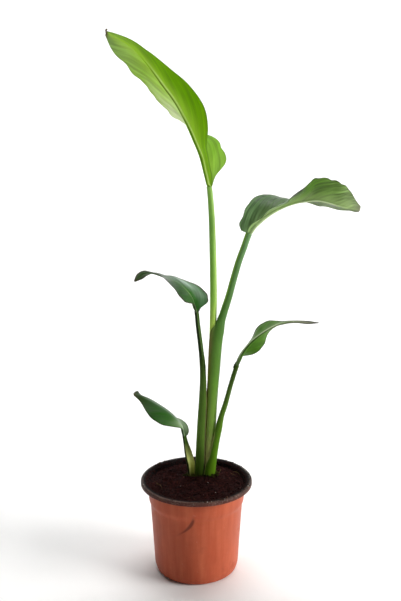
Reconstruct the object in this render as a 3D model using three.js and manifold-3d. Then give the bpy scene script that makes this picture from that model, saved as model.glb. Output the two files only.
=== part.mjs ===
// A young bird of paradise plant with five leaves, growing in a round plastic nursery pot.
// Millimetres, +Z up, origin in the middle of the pot's underside. The front of the plant is towards -Y.
// The leaves are numbered from the innermost, youngest one to the outermost, oldest one: each stalk's
// sheath wraps the stalks with lower numbers.
import * as THREE from 'three';
import { mergeVertices } from 'three/addons/utils/BufferGeometryUtils.js';
import Module from 'manifold-3d';

const wasm = await Module();
wasm.setup();

// Driving sizes
const POT_HEIGHT = 110;
const RIM_RADIUS = 65;
const WALL = 1.3;
const DRAIN_HOLES = 6;
const DRAIN_HOLE_RADIUS = 4;
const DRAIN_RING_RADIUS = 26;
const SOIL_EDGE_HEIGHT = 105;
const SOIL_MOUND = 3;
const SOIL_BUMP = 1.1;
const CLUMP = new THREE.Vector3(8, 18, 0);
const STALK_FOOT = 66;
const CROWN_HEIGHT = 14;
const LEAF_THICKNESS = 0.8;
const GAP = 0.3;

// Mesh fineness
const POT_SIDES = 32;
const SOIL_SIDES = 32;
const STALK_SIDES = 12;
const STALK_RINGS = 13;
const RIB_SIDES = 6;

// Each blade's halves are turned about its midrib from this point in front of the plant: at 0 degrees a half
// lies square to the line of sight, on the right of someone who goes along the midrib to the tip, and at 90
// degrees it points to the viewer.
const VIEWER = new THREE.Vector3(5, -850, 497);

// Stalk rows: x, y, z, half width across the line of sight, half depth along it. The last row is the joint
// with the blade. Rib rows: x, y, z of the midrib from just after the joint to the tip.
// Half rows: share of the blade's length, width in mm, turn in degrees. Waves: height in mm at the widest
// point, number along the blade, share of a wave that the first one starts at.
const LEAVES = [
  {
    stalk: [
      [12.5, 20, 96, 3.6, 3.6], [13.5, 20, 149.5, 3.6, 3.6], [16.5, 20, 199, 3.6, 3.6],
      [18, 20, 248, 3.8, 3.8], [19, 20, 283.5, 3.9, 3.9], [19.6, 20, 319, 4, 4],
      [19.2, 20, 353.5, 3.9, 3.9], [18.3, 20, 388, 3.7, 3.7], [17, 20, 419.5, 3.4, 3.4],
      [14.5, 20, 447, 3, 3],
    ],
    rib: [
      [11, 18, 464.5], [6, 15, 482], [-2, 12, 500], [-12.5, 10, 521.5], [-23, 10, 539], [-34.5, 12, 554],
      [-45, 15, 568], [-56.5, 20, 582.5], [-70, 25, 596.5], [-97.5, 32, 612.5],
    ],
    near: [
      [0, 4, 50], [0.05, 9, 58], [0.1, 14, 68], [0.2, 22.5, 72], [0.3, 29, 52], [0.4, 31, 39],
      [0.5, 29, 42], [0.6, 24.5, 48], [0.7, 20, 55], [0.8, 17, 66], [0.9, 12, 69], [1, 2, 60],
    ],
    far: [
      [0, 3, 0], [0.05, 9.5, -8], [0.1, 25.5, -18], [0.15, 28, -29], [0.2, 28, -38], [0.26, 30, -68],
      [0.33, 32, -94], [0.4, 32, -104], [0.5, 30, -119], [0.6, 28, -122], [0.7, 27, -128],
      [0.8, 24.5, -139], [0.9, 20, -149], [0.96, 13, -150], [1, 4, -150],
    ],
    nearWave: [0.5, 3, 0],
    farWave: [1.5, 6, 0.2],
    rings: 20,
    columns: 4,
    color: 0x8fb54a,
    stalkColor: 0x7fae3c,
  },
  {
    stalk: [
      [14, 20, 96, 6.8, 6.6], [15.9, 20, 149.5, 6.7, 6.4], [18.1, 20, 199, 6.6, 6.2],
      [20.8, 20, 241, 7.2, 6.3], [22.1, 20, 263, 7.5, 6.4], [24.2, 20, 281, 7.7, 6.2],
      [28.6, 20, 297, 5.4, 4.9], [36.3, 20, 320, 4.2, 4], [41.8, 19, 341, 3.9, 3.8],
      [47.9, 19, 363, 3.8, 3.7], [53.8, 18, 380, 3.7, 3.6], [59, 18, 395, 3.6, 3.6],
    ],
    rib: [
      [63.5, 18, 403], [72.5, 20, 411.5], [83.5, 22, 419], [96.5, 26, 425], [110, 30, 429],
      [124.5, 36, 430.5], [138.5, 40, 430.5], [153, 44, 427], [169, 48, 422], [189, 50, 418.5],
    ],
    near: [
      [0, 4, 118], [0.1, 18, 95], [0.2, 28, 94], [0.3, 30, 94], [0.39, 30, 104], [0.49, 27.5, 130],
      [0.55, 26, 144], [0.61, 27, 164], [0.67, 27, 172], [0.78, 26, 178], [0.9, 19, 178], [0.96, 9.5, 178],
      [1, 4.5, 178],
    ],
    far: [
      [0, 9.5, 172], [0.03, 14.5, 178], [0.07, 16, 187], [0.12, 22, 200], [0.2, 29, 212], [0.3, 31, 228],
      [0.4, 31, 246], [0.48, 30, 259], [0.56, 29, 268], [0.66, 27, 279], [0.75, 25, 285], [0.85, 19, 284],
      [0.93, 8.5, 284], [0.98, 6, 296], [1, 3, 305],
    ],
    nearWave: [0.9, 6, 0],
    farWave: [0.8, 4, 0.5],
    rings: 20,
    columns: 4,
    color: 0x4f8040,
    stalkColor: 0x4d8b1f,
  },
  {
    stalk: [
      [5.5, 19, 96, 7.5, 6.2], [6.3, 19, 130, 7.4, 5.8], [7.5, 19, 165, 6.9, 5.2],
      [9.1, 19, 199.5, 6.3, 4.8], [8.7, 18, 229, 4.6, 4], [6.4, 17, 252, 3.2, 3],
      [4.8, 17, 266.5, 2.9, 2.7], [1.9, 16, 290.5, 2.7, 2.5], [0.3, 14, 306.5, 2.6, 2.4],
    ],
    rib: [
      [-2, 10, 316.5], [-5, 6, 325.5], [-11, 2, 334.5], [-18.5, -2, 341.5], [-28.5, -6, 347.5],
      [-38.5, -8, 352], [-47, -10, 355], [-55, -10, 355.5], [-61.5, -10, 352.5], [-68, -10, 346],
    ],
    near: [
      [0, 3, 95], [0.13, 6, 98], [0.18, 8.5, 114], [0.23, 13.5, 122], [0.33, 19, 125], [0.43, 18.5, 126],
      [0.53, 16, 117], [0.62, 15, 102], [0.72, 13, 88], [0.8, 10.5, 81], [0.87, 7.5, 65], [0.93, 5.2, 56],
      [1, 1.2, 60],
    ],
    far: [
      [0, 3, 0], [0.035, 6.5, -8], [0.06, 15.5, -13], [0.09, 17.5, -17], [0.13, 19, -24], [0.18, 18.3, -37],
      [0.27, 19, -62], [0.37, 19, -72], [0.47, 17, -75], [0.57, 15, -79], [0.7, 13, -84], [0.8, 10.5, -100],
      [0.87, 8, -120], [0.93, 5.8, -140], [1, 1.2, -150],
    ],
    nearWave: [0.4, 3, 0],
    farWave: [0.5, 4, 0.3],
    rings: 15,
    columns: 3,
    color: 0x4b6e55,
    stalkColor: 0x2f4a20,
  },
  {
    stalk: [
      [13.7, 18, 96, 8, 7.8], [15.6, 18, 117, 7.6, 7.4], [18.8, 17, 130, 5.9, 6.2], [22.4, 16, 150, 5, 4.6],
      [26.2, 15, 166.5, 4.2, 3.8], [29.3, 15, 181, 3.3, 3.2], [33.9, 15, 196, 3, 3],
      [40.1, 14, 220.5, 2.7, 2.6], [46.7, 14, 242.5, 2.7, 2.6],
    ],
    rib: [
      [50.5, 14, 252.5], [56.5, 14, 262], [64.5, 14, 271.5], [73.5, 16, 279], [83.5, 20, 285],
      [94.5, 24, 289.5], [105, 28, 291], [117.5, 32, 290.5], [130, 36, 288.5], [144, 40, 287.5],
    ],
    near: [
      [0, 4, 215], [0.05, 5, 245], [0.1, 8, 259], [0.2, 13, 261], [0.3, 15, 256], [0.4, 16, 237],
      [0.46, 15, 229], [0.52, 13.7, 229], [0.6, 10, 244], [0.66, 6.5, 252], [0.8, 5, 250], [0.9, 5.5, 246],
      [1, 1.5, 250],
    ],
    far: [
      [0, 3, 290], [0.09, 6, 285], [0.12, 10, 302], [0.15, 13, 313], [0.2, 15, 322], [0.25, 15.8, 324],
      [0.3, 16, 320], [0.4, 17, 307], [0.45, 15.5, 296], [0.5, 13, 285], [0.6, 10, 279], [0.66, 6.5, 286],
      [0.8, 5, 288], [0.9, 4.5, 290], [1, 1.2, 290],
    ],
    nearWave: [0.3, 3, 0],
    farWave: [0.4, 3, 0.4],
    rings: 15,
    columns: 3,
    color: 0x55862f,
    stalkColor: 0x4a7a24,
  },
  {
    stalk: [
      [-3.8, 17, 96, 5.4, 4.4], [-5.8, 15, 119, 5.4, 4], [-8.2, 14, 130, 5.1, 3.4],
      [-10.2, 12, 140, 4.3, 2.8], [-12.5, 10, 150, 2.9, 2.4], [-14.1, 9, 159, 2.4, 2.2],
    ],
    rib: [
      [-16.5, 7, 172], [-21.5, 4, 181], [-28, 2, 189], [-35.5, 0, 196], [-44, -2, 202.5], [-51.5, -4, 208],
      [-58.5, -6, 212], [-64.5, -8, 215], [-71, -10, 217],
    ],
    near: [
      [0, 3, 100], [0.1, 6, 95], [0.15, 6.5, 102], [0.2, 8, 118], [0.3, 14, 136], [0.4, 18.7, 143],
      [0.5, 21.7, 145], [0.6, 22, 147], [0.7, 19.8, 148], [0.8, 16, 147], [0.87, 11.5, 143],
      [0.93, 8.2, 138], [1, 2.5, 140],
    ],
    far: [
      [0, 3.5, 10], [0.05, 6.5, -18], [0.1, 7.5, -34], [0.15, 9, -62], [0.2, 11, -84], [0.3, 15, -103],
      [0.4, 18, -108], [0.6, 19, -112], [0.8, 12, -112], [0.88, 7, -90], [0.94, 6, -52], [1, 0.9, -40],
    ],
    nearWave: [0.3, 3, 0],
    farWave: [0.4, 3, 0.4],
    rings: 15,
    columns: 3,
    color: 0x2f5a22,
    stalkColor: 0x4f6f2a,
  },
];

// Solids

function solidFrom(positions, faces) {
  const solid = new wasm.Manifold(
    new wasm.Mesh({
      numProp: 3,
      vertProperties: new Float32Array(positions),
      triVerts: new Uint32Array(faces),
    }),
  );
  if (solid.volume() > 0) return solid;
  const turned = [];
  for (let i = 0; i < faces.length; i += 3) turned.push(faces[i], faces[i + 2], faces[i + 1]);
  return solidFrom(positions, turned);
}

function solidFromGeometry(geometry) {
  const bare = geometry.clone();
  bare.deleteAttribute('normal');
  bare.deleteAttribute('uv');
  const merged = mergeVertices(bare, 1e-4);
  return solidFrom([...merged.getAttribute('position').array], [...merged.index.array]);
}

function largestBody(solid) {
  return solid.decompose().reduce((best, body) => (body.volume() > best.volume() ? body : best));
}

function geometryFrom(solid) {
  const { vertProperties, triVerts } = solid.getMesh();
  const geometry = new THREE.BufferGeometry();
  geometry.setAttribute('position', new THREE.BufferAttribute(vertProperties, 3));
  geometry.setIndex(new THREE.BufferAttribute(triVerts, 1));
  geometry.computeVertexNormals();
  return geometry;
}

// Joins rings of equally many points into one closed skin with a fan over each end.
function skinOf(rings) {
  const sides = rings[0].length;
  const positions = rings.flat().flatMap((point) => [point.x, point.y, point.z]);
  const faces = [];
  for (let ring = 0; ring < rings.length - 1; ring++) {
    for (let side = 0; side < sides; side++) {
      const a = ring * sides + side;
      const b = ring * sides + ((side + 1) % sides);
      faces.push(a, b, b + sides, a, b + sides, a + sides);
    }
  }
  const last = (rings.length - 1) * sides;
  for (let side = 1; side < sides - 1; side++) {
    faces.push(0, side + 1, side, last, last + side, last + side + 1);
  }
  return solidFrom(positions, faces);
}

// Curves

// Values between key rows [share, value, ...], by a smooth curve that levels off where the values turn.
function keyed(rows, share) {
  let row = 0;
  while (row < rows.length - 2 && share > rows[row + 1][0]) row++;
  const start = rows[row];
  const end = rows[row + 1];
  const span = end[0] - start[0];
  const t = THREE.MathUtils.clamp((share - start[0]) / span, 0, 1);
  const slope = (from, to, k) => (to[k] - from[k]) / (to[0] - from[0]);
  const lean = (index, k) => {
    if (index === 0) return slope(rows[0], rows[1], k);
    if (index === rows.length - 1) return slope(rows[index - 1], rows[index], k);
    const before = slope(rows[index - 1], rows[index], k);
    const after = slope(rows[index], rows[index + 1], k);
    return before * after <= 0 ? 0 : (before + after) / 2;
  };
  return start.slice(1).map((value, index) => {
    const k = index + 1;
    return (
      (2 * t ** 3 - 3 * t ** 2 + 1) * value +
      (t ** 3 - 2 * t ** 2 + t) * span * lean(row, k) +
      (3 * t ** 2 - 2 * t ** 3) * end[k] +
      (t ** 3 - t ** 2) * span * lean(row + 1, k)
    );
  });
}

// One smooth line through stalk and midrib. Gives a point with its directions at a length along it:
// along to the tip, across (square to the line of sight) and towards the viewer.
function leafLine(leaf) {
  const steps = 40;
  const rows = [...leaf.stalk, ...leaf.rib];
  const curve = new THREE.CatmullRomCurve3(rows.map(([x, y, z]) => new THREE.Vector3(x, y, z)));
  const lengths = curve.getLengths(steps * (rows.length - 1));
  curve.arcLengthDivisions = lengths.length - 1;
  const total = lengths.at(-1);
  const lengthAtRow = (row) => lengths[row * steps];
  const at = (length) => {
    const share = THREE.MathUtils.clamp(length / total, 0, 1);
    const point = curve.getPointAt(share);
    const along = curve.getTangentAt(share);
    const towards = VIEWER.clone().sub(point).normalize();
    towards.addScaledVector(along, -along.dot(towards)).normalize();
    return { point, along, towards, across: new THREE.Vector3().crossVectors(along, towards) };
  };
  return { at, total, lengthAtRow, joint: lengthAtRow(leaf.stalk.length - 1) };
}

function oval({ point, across, towards }, halfWidth, halfDepth, sides) {
  return Array.from({ length: sides }, (_, side) => {
    const angle = (2 * Math.PI * side) / sides;
    return point
      .clone()
      .addScaledVector(across, halfWidth * Math.cos(angle))
      .addScaledVector(towards, halfDepth * Math.sin(angle));
  });
}

// Pot

function potShell() {
  const profile = [
    [0, 0], [44.5, 0], [47.6, 2.2], [49.3, 8], [53.6, 79], [55.8, 85], [56.4, 104],
    [58.5, POT_HEIGHT - 1.8], [RIM_RADIUS - 1.5, POT_HEIGHT - 1.8], [RIM_RADIUS - 1.5, POT_HEIGHT - 4.5],
    [RIM_RADIUS, POT_HEIGHT - 4.5], [RIM_RADIUS, POT_HEIGHT - 0.7], [RIM_RADIUS - 0.8, POT_HEIGHT],
    [59.8, POT_HEIGHT], [57.2, POT_HEIGHT - 1.6], [56.4 - WALL, 104], [55.8 - WALL, 85.4],
    [53.6 - WALL, 79.4], [49.3 - WALL, 8.3], [46.6, 3.2], [44, WALL], [0, WALL],
  ];
  const points = profile.map(([radius, height]) => new THREE.Vector2(radius, height));
  let shell = solidFromGeometry(new THREE.LatheGeometry(points, POT_SIDES).rotateX(Math.PI / 2));
  for (let hole = 0; hole < DRAIN_HOLES; hole++) {
    const angle = (2 * Math.PI * (hole + 0.5)) / DRAIN_HOLES;
    const drill = new THREE.CylinderGeometry(DRAIN_HOLE_RADIUS, DRAIN_HOLE_RADIUS, 6, 8)
      .rotateX(Math.PI / 2)
      .translate(DRAIN_RING_RADIUS * Math.cos(angle), DRAIN_RING_RADIUS * Math.sin(angle), 0);
    shell = shell.subtract(solidFromGeometry(drill));
  }
  return shell;
}

// Crown: the short buried stem that the stalks grow from

function crownBody(extra) {
  const rows = [
    [0.35, 0], [0.8, 0.2], [1, 0.55], [0.9, 0.85], [0.6, 1],
  ];
  const rings = rows.map(([width, height]) => {
    const z = STALK_FOOT - GAP - CROWN_HEIGHT + height * CROWN_HEIGHT + (height - 0.5) * 2 * extra;
    return Array.from({ length: 16 }, (_, side) => {
      const angle = (2 * Math.PI * side) / 16;
      return new THREE.Vector3(
        CLUMP.x + (width * 17 + extra) * Math.cos(angle),
        CLUMP.y + (width * 12 + extra) * Math.sin(angle),
        z,
      );
    });
  });
  return skinOf(rings);
}

// Soil: fills the pot, with an uneven top that rises towards the stalks

function soilHeight(x, y, edge) {
  const fade = 1 - edge ** 4;
  const near = Math.exp(-((x - CLUMP.x) ** 2 + (y - CLUMP.y) ** 2) / 900);
  const bumps =
    Math.sin(0.21 * x + 0.6) * Math.cos(0.17 * y) + 0.7 * Math.sin(0.33 * y - 0.24 * x + 1.9);
  return SOIL_EDGE_HEIGHT + fade * (SOIL_MOUND * near + SOIL_BUMP * bumps);
}

function soilBody() {
  const side = [
    [43.3, WALL + GAP], [46.1, 3.7], [47.6, 8.4], [51.95, 79.8], [54.1, 85.6], [54.7, 104],
    [55.1, SOIL_EDGE_HEIGHT],
  ];
  const edgeRadius = side.at(-1)[0];
  const around = (radius, height) =>
    Array.from({ length: SOIL_SIDES }, (_, index) => {
      const angle = (2 * Math.PI * index) / SOIL_SIDES;
      const x = radius * Math.cos(angle);
      const y = radius * Math.sin(angle);
      return new THREE.Vector3(x, y, height ?? soilHeight(x, y, radius / edgeRadius));
    });
  const wall = side.map(([radius, height]) => around(radius, height));
  const top = [52, 46, 39, 31, 22, 12, 4].map((radius) => around(radius));
  return skinOf([...wall, ...top]);
}

// Stalks: a round leaf stalk above, widening below into a sheath

function stalkBody(leaf, extra) {
  const line = leafLine(leaf);
  const sizes = leaf.stalk.map((row, index) => [line.lengthAtRow(index), row[3], row[4]]);
  const rings = [];
  for (let ring = 0; ring <= STALK_RINGS; ring++) {
    const length = (line.joint * ring) / STALK_RINGS;
    const [halfWidth, halfDepth] = keyed(sizes, length);
    rings.push(oval(line.at(length), halfWidth + extra, halfDepth + extra, STALK_SIDES));
  }
  const foot = rings[0].map((point) => point.clone().setZ(STALK_FOOT - extra));
  return skinOf([foot, ...rings]);
}

// Blades: two thin halves and a midrib that tapers to the tip, joined in one body

function halfPoints(leaf, line, rows, wave) {
  const start = line.joint + GAP;
  const widest = Math.max(...rows.map((row) => row[1]));
  const [waveHeight, waveCount, waveStart] = wave;
  const grid = [];
  for (let ring = 0; ring <= leaf.rings; ring++) {
    const share = ring / leaf.rings;
    const [width, turn] = keyed(rows, share);
    const angle = THREE.MathUtils.degToRad(turn);
    const { point, across, towards } = line.at(start + share * (line.total - start));
    const out = across.clone().multiplyScalar(Math.cos(angle)).addScaledVector(towards, Math.sin(angle));
    const square = across.clone().multiplyScalar(-Math.sin(angle)).addScaledVector(towards, Math.cos(angle));
    const swell = waveHeight * (width / widest) * Math.sin(2 * Math.PI * (waveCount * share + waveStart));
    const row = [];
    for (let column = 0; column <= leaf.columns; column++) {
      const u = column / leaf.columns;
      row.push(point.clone().addScaledVector(out, width * u).addScaledVector(square, swell * u * u));
    }
    grid.push(row);
  }
  return grid;
}

function sheetBody(grid) {
  const rings = grid.length - 1;
  const columns = grid[0].length - 1;
  const faceNormal = (ring, column) => {
    const before = grid[Math.max(ring - 1, 0)][column];
    const after = grid[Math.min(ring + 1, rings)][column];
    const inner = grid[ring][Math.max(column - 1, 0)];
    const outer = grid[ring][Math.min(column + 1, columns)];
    return after.clone().sub(before).cross(outer.clone().sub(inner)).normalize();
  };
  const positions = [];
  for (const side of [0.5, -0.5]) {
    grid.forEach((row, ring) =>
      row.forEach((point, column) => {
        const moved = point.clone().addScaledVector(faceNormal(ring, column), side * LEAF_THICKNESS);
        positions.push(moved.x, moved.y, moved.z);
      }),
    );
  }
  const across = columns + 1;
  const under = (rings + 1) * across;
  const faces = [];
  for (let ring = 0; ring < rings; ring++) {
    for (let column = 0; column < columns; column++) {
      const a = ring * across + column;
      const b = a + across;
      faces.push(a, b, b + 1, a, b + 1, a + 1);
      faces.push(under + a, under + b + 1, under + b, under + a, under + a + 1, under + b + 1);
    }
  }
  const rim = [];
  for (let ring = 0; ring < rings; ring++) rim.push(ring * across);
  for (let column = 0; column < columns; column++) rim.push(rings * across + column);
  for (let ring = rings; ring > 0; ring--) rim.push(ring * across + columns);
  for (let column = columns; column > 0; column--) rim.push(column);
  rim.forEach((a, index) => {
    const b = rim[(index + 1) % rim.length];
    faces.push(a, under + a, under + b, a, under + b, b);
  });
  return solidFrom(positions, faces);
}

function ribBody(leaf, line) {
  const start = line.joint + GAP;
  const base = leaf.stalk.at(-1)[3];
  const sizes = [[0, base], [0.12, base * 0.85], [0.4, base * 0.5], [0.8, 0.7], [1, 0.5]];
  const rings = [];
  for (let ring = 0; ring <= leaf.rings; ring++) {
    const share = ring / leaf.rings;
    const [radius] = keyed(sizes, share);
    const place = line.at(start + share * (line.total - start));
    const [, nearTurn] = keyed(leaf.near, share);
    const [, farTurn] = keyed(leaf.far, share);
    const opening = THREE.MathUtils.degToRad((nearTurn + farTurn) / 2);
    const shift = -radius * 0.4 * Math.min(1, share * 10);
    place.point
      .addScaledVector(place.across, Math.cos(opening) * shift)
      .addScaledVector(place.towards, Math.sin(opening) * shift);
    rings.push(oval(place, radius, radius, RIB_SIDES));
  }
  return skinOf(rings);
}

function bladeBody(leaf) {
  const line = leafLine(leaf);
  const near = sheetBody(halfPoints(leaf, line, leaf.near, leaf.nearWave));
  const far = sheetBody(halfPoints(leaf, line, leaf.far, leaf.farWave));
  return largestBody(near.add(far).add(ribBody(leaf, line)));
}

// Assembly

const plant = new THREE.Group();
plant.name = 'potted_bird_of_paradise';

function addPiece(name, solid, color, roughness) {
  const material = new THREE.MeshStandardMaterial({ color, roughness, metalness: 0 });
  const mesh = new THREE.Mesh(geometryFrom(solid), material);
  mesh.name = name;
  plant.add(mesh);
}

const hollows = LEAVES.map((leaf) => stalkBody(leaf, GAP));
const soil = hollows.reduce((body, hollow) => body.subtract(hollow), soilBody()).subtract(crownBody(GAP));

addPiece('pot', potShell(), 0xa0533a, 0.6);
addPiece('soil', largestBody(soil), 0x1f130d, 0.95);
addPiece('crown', crownBody(0), 0x8a8450, 0.8);
LEAVES.forEach((leaf, index) => {
  const inner = hollows.slice(0, index);
  const stalk = inner.reduce((body, hollow) => body.subtract(hollow), stalkBody(leaf, 0));
  addPiece(`leaf_${index + 1}_stalk`, largestBody(stalk), leaf.stalkColor, 0.45);
  addPiece(`leaf_${index + 1}_blade`, bladeBody(leaf), leaf.color, 0.5);
});

export default plant;
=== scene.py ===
"""A young bird of paradise plant with five leaves in a round plastic nursery pot.

Blender works in metres. The tables below are in millimetres, +Z up, with the origin in the middle of the pot's
underside and the front of the plant towards -Y.
"""
import math
import random

import bmesh
import bpy
import numpy as np
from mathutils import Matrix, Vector, noise


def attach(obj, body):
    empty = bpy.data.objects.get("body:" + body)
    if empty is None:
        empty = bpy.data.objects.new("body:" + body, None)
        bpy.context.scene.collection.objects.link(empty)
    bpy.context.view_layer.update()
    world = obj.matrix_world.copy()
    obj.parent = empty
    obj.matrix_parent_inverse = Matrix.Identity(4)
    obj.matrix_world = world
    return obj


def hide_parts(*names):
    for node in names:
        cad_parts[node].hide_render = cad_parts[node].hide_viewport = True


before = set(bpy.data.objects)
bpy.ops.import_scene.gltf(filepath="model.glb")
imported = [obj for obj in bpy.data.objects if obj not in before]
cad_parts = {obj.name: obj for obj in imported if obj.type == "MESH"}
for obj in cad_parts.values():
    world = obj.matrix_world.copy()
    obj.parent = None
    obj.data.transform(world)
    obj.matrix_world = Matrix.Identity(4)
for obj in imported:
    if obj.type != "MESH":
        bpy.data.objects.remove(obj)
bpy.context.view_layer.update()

MM = 0.001

# Camera: the eye's place, how far it looks down, and the lens for a 36 mm sensor along the picture's long side
EYE = (4.8, -850.0, 497.0)
LOOK_DOWN = 11.6
LENS = 46.54

# Pot and soil
POT_HEIGHT = 110.0
RIM_RADIUS = 65.0
WALL = 1.3
DRAIN_HOLES = 6
DRAIN_HOLE_RADIUS = 4.0
DRAIN_RING_RADIUS = 26.0
SOIL_EDGE_HEIGHT = 105.0
SOIL_EDGE_RADIUS = 55.1
SOIL_MOUND = 3.0
SOIL_BUMP = 1.1
CLUMP = (8.0, 18.0)
STALK_FOOT = 66.0
CROWN_HEIGHT = 14.0
GAP = 0.3

# Each blade's halves are turned about its midrib from this point in front of the plant: at 0 degrees a half lies
# square to the line of sight, on the right of someone who goes along the midrib to the tip, and at 90 degrees it
# points to the viewer.
VIEWER = (5.0, -850.0, 497.0)

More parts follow.
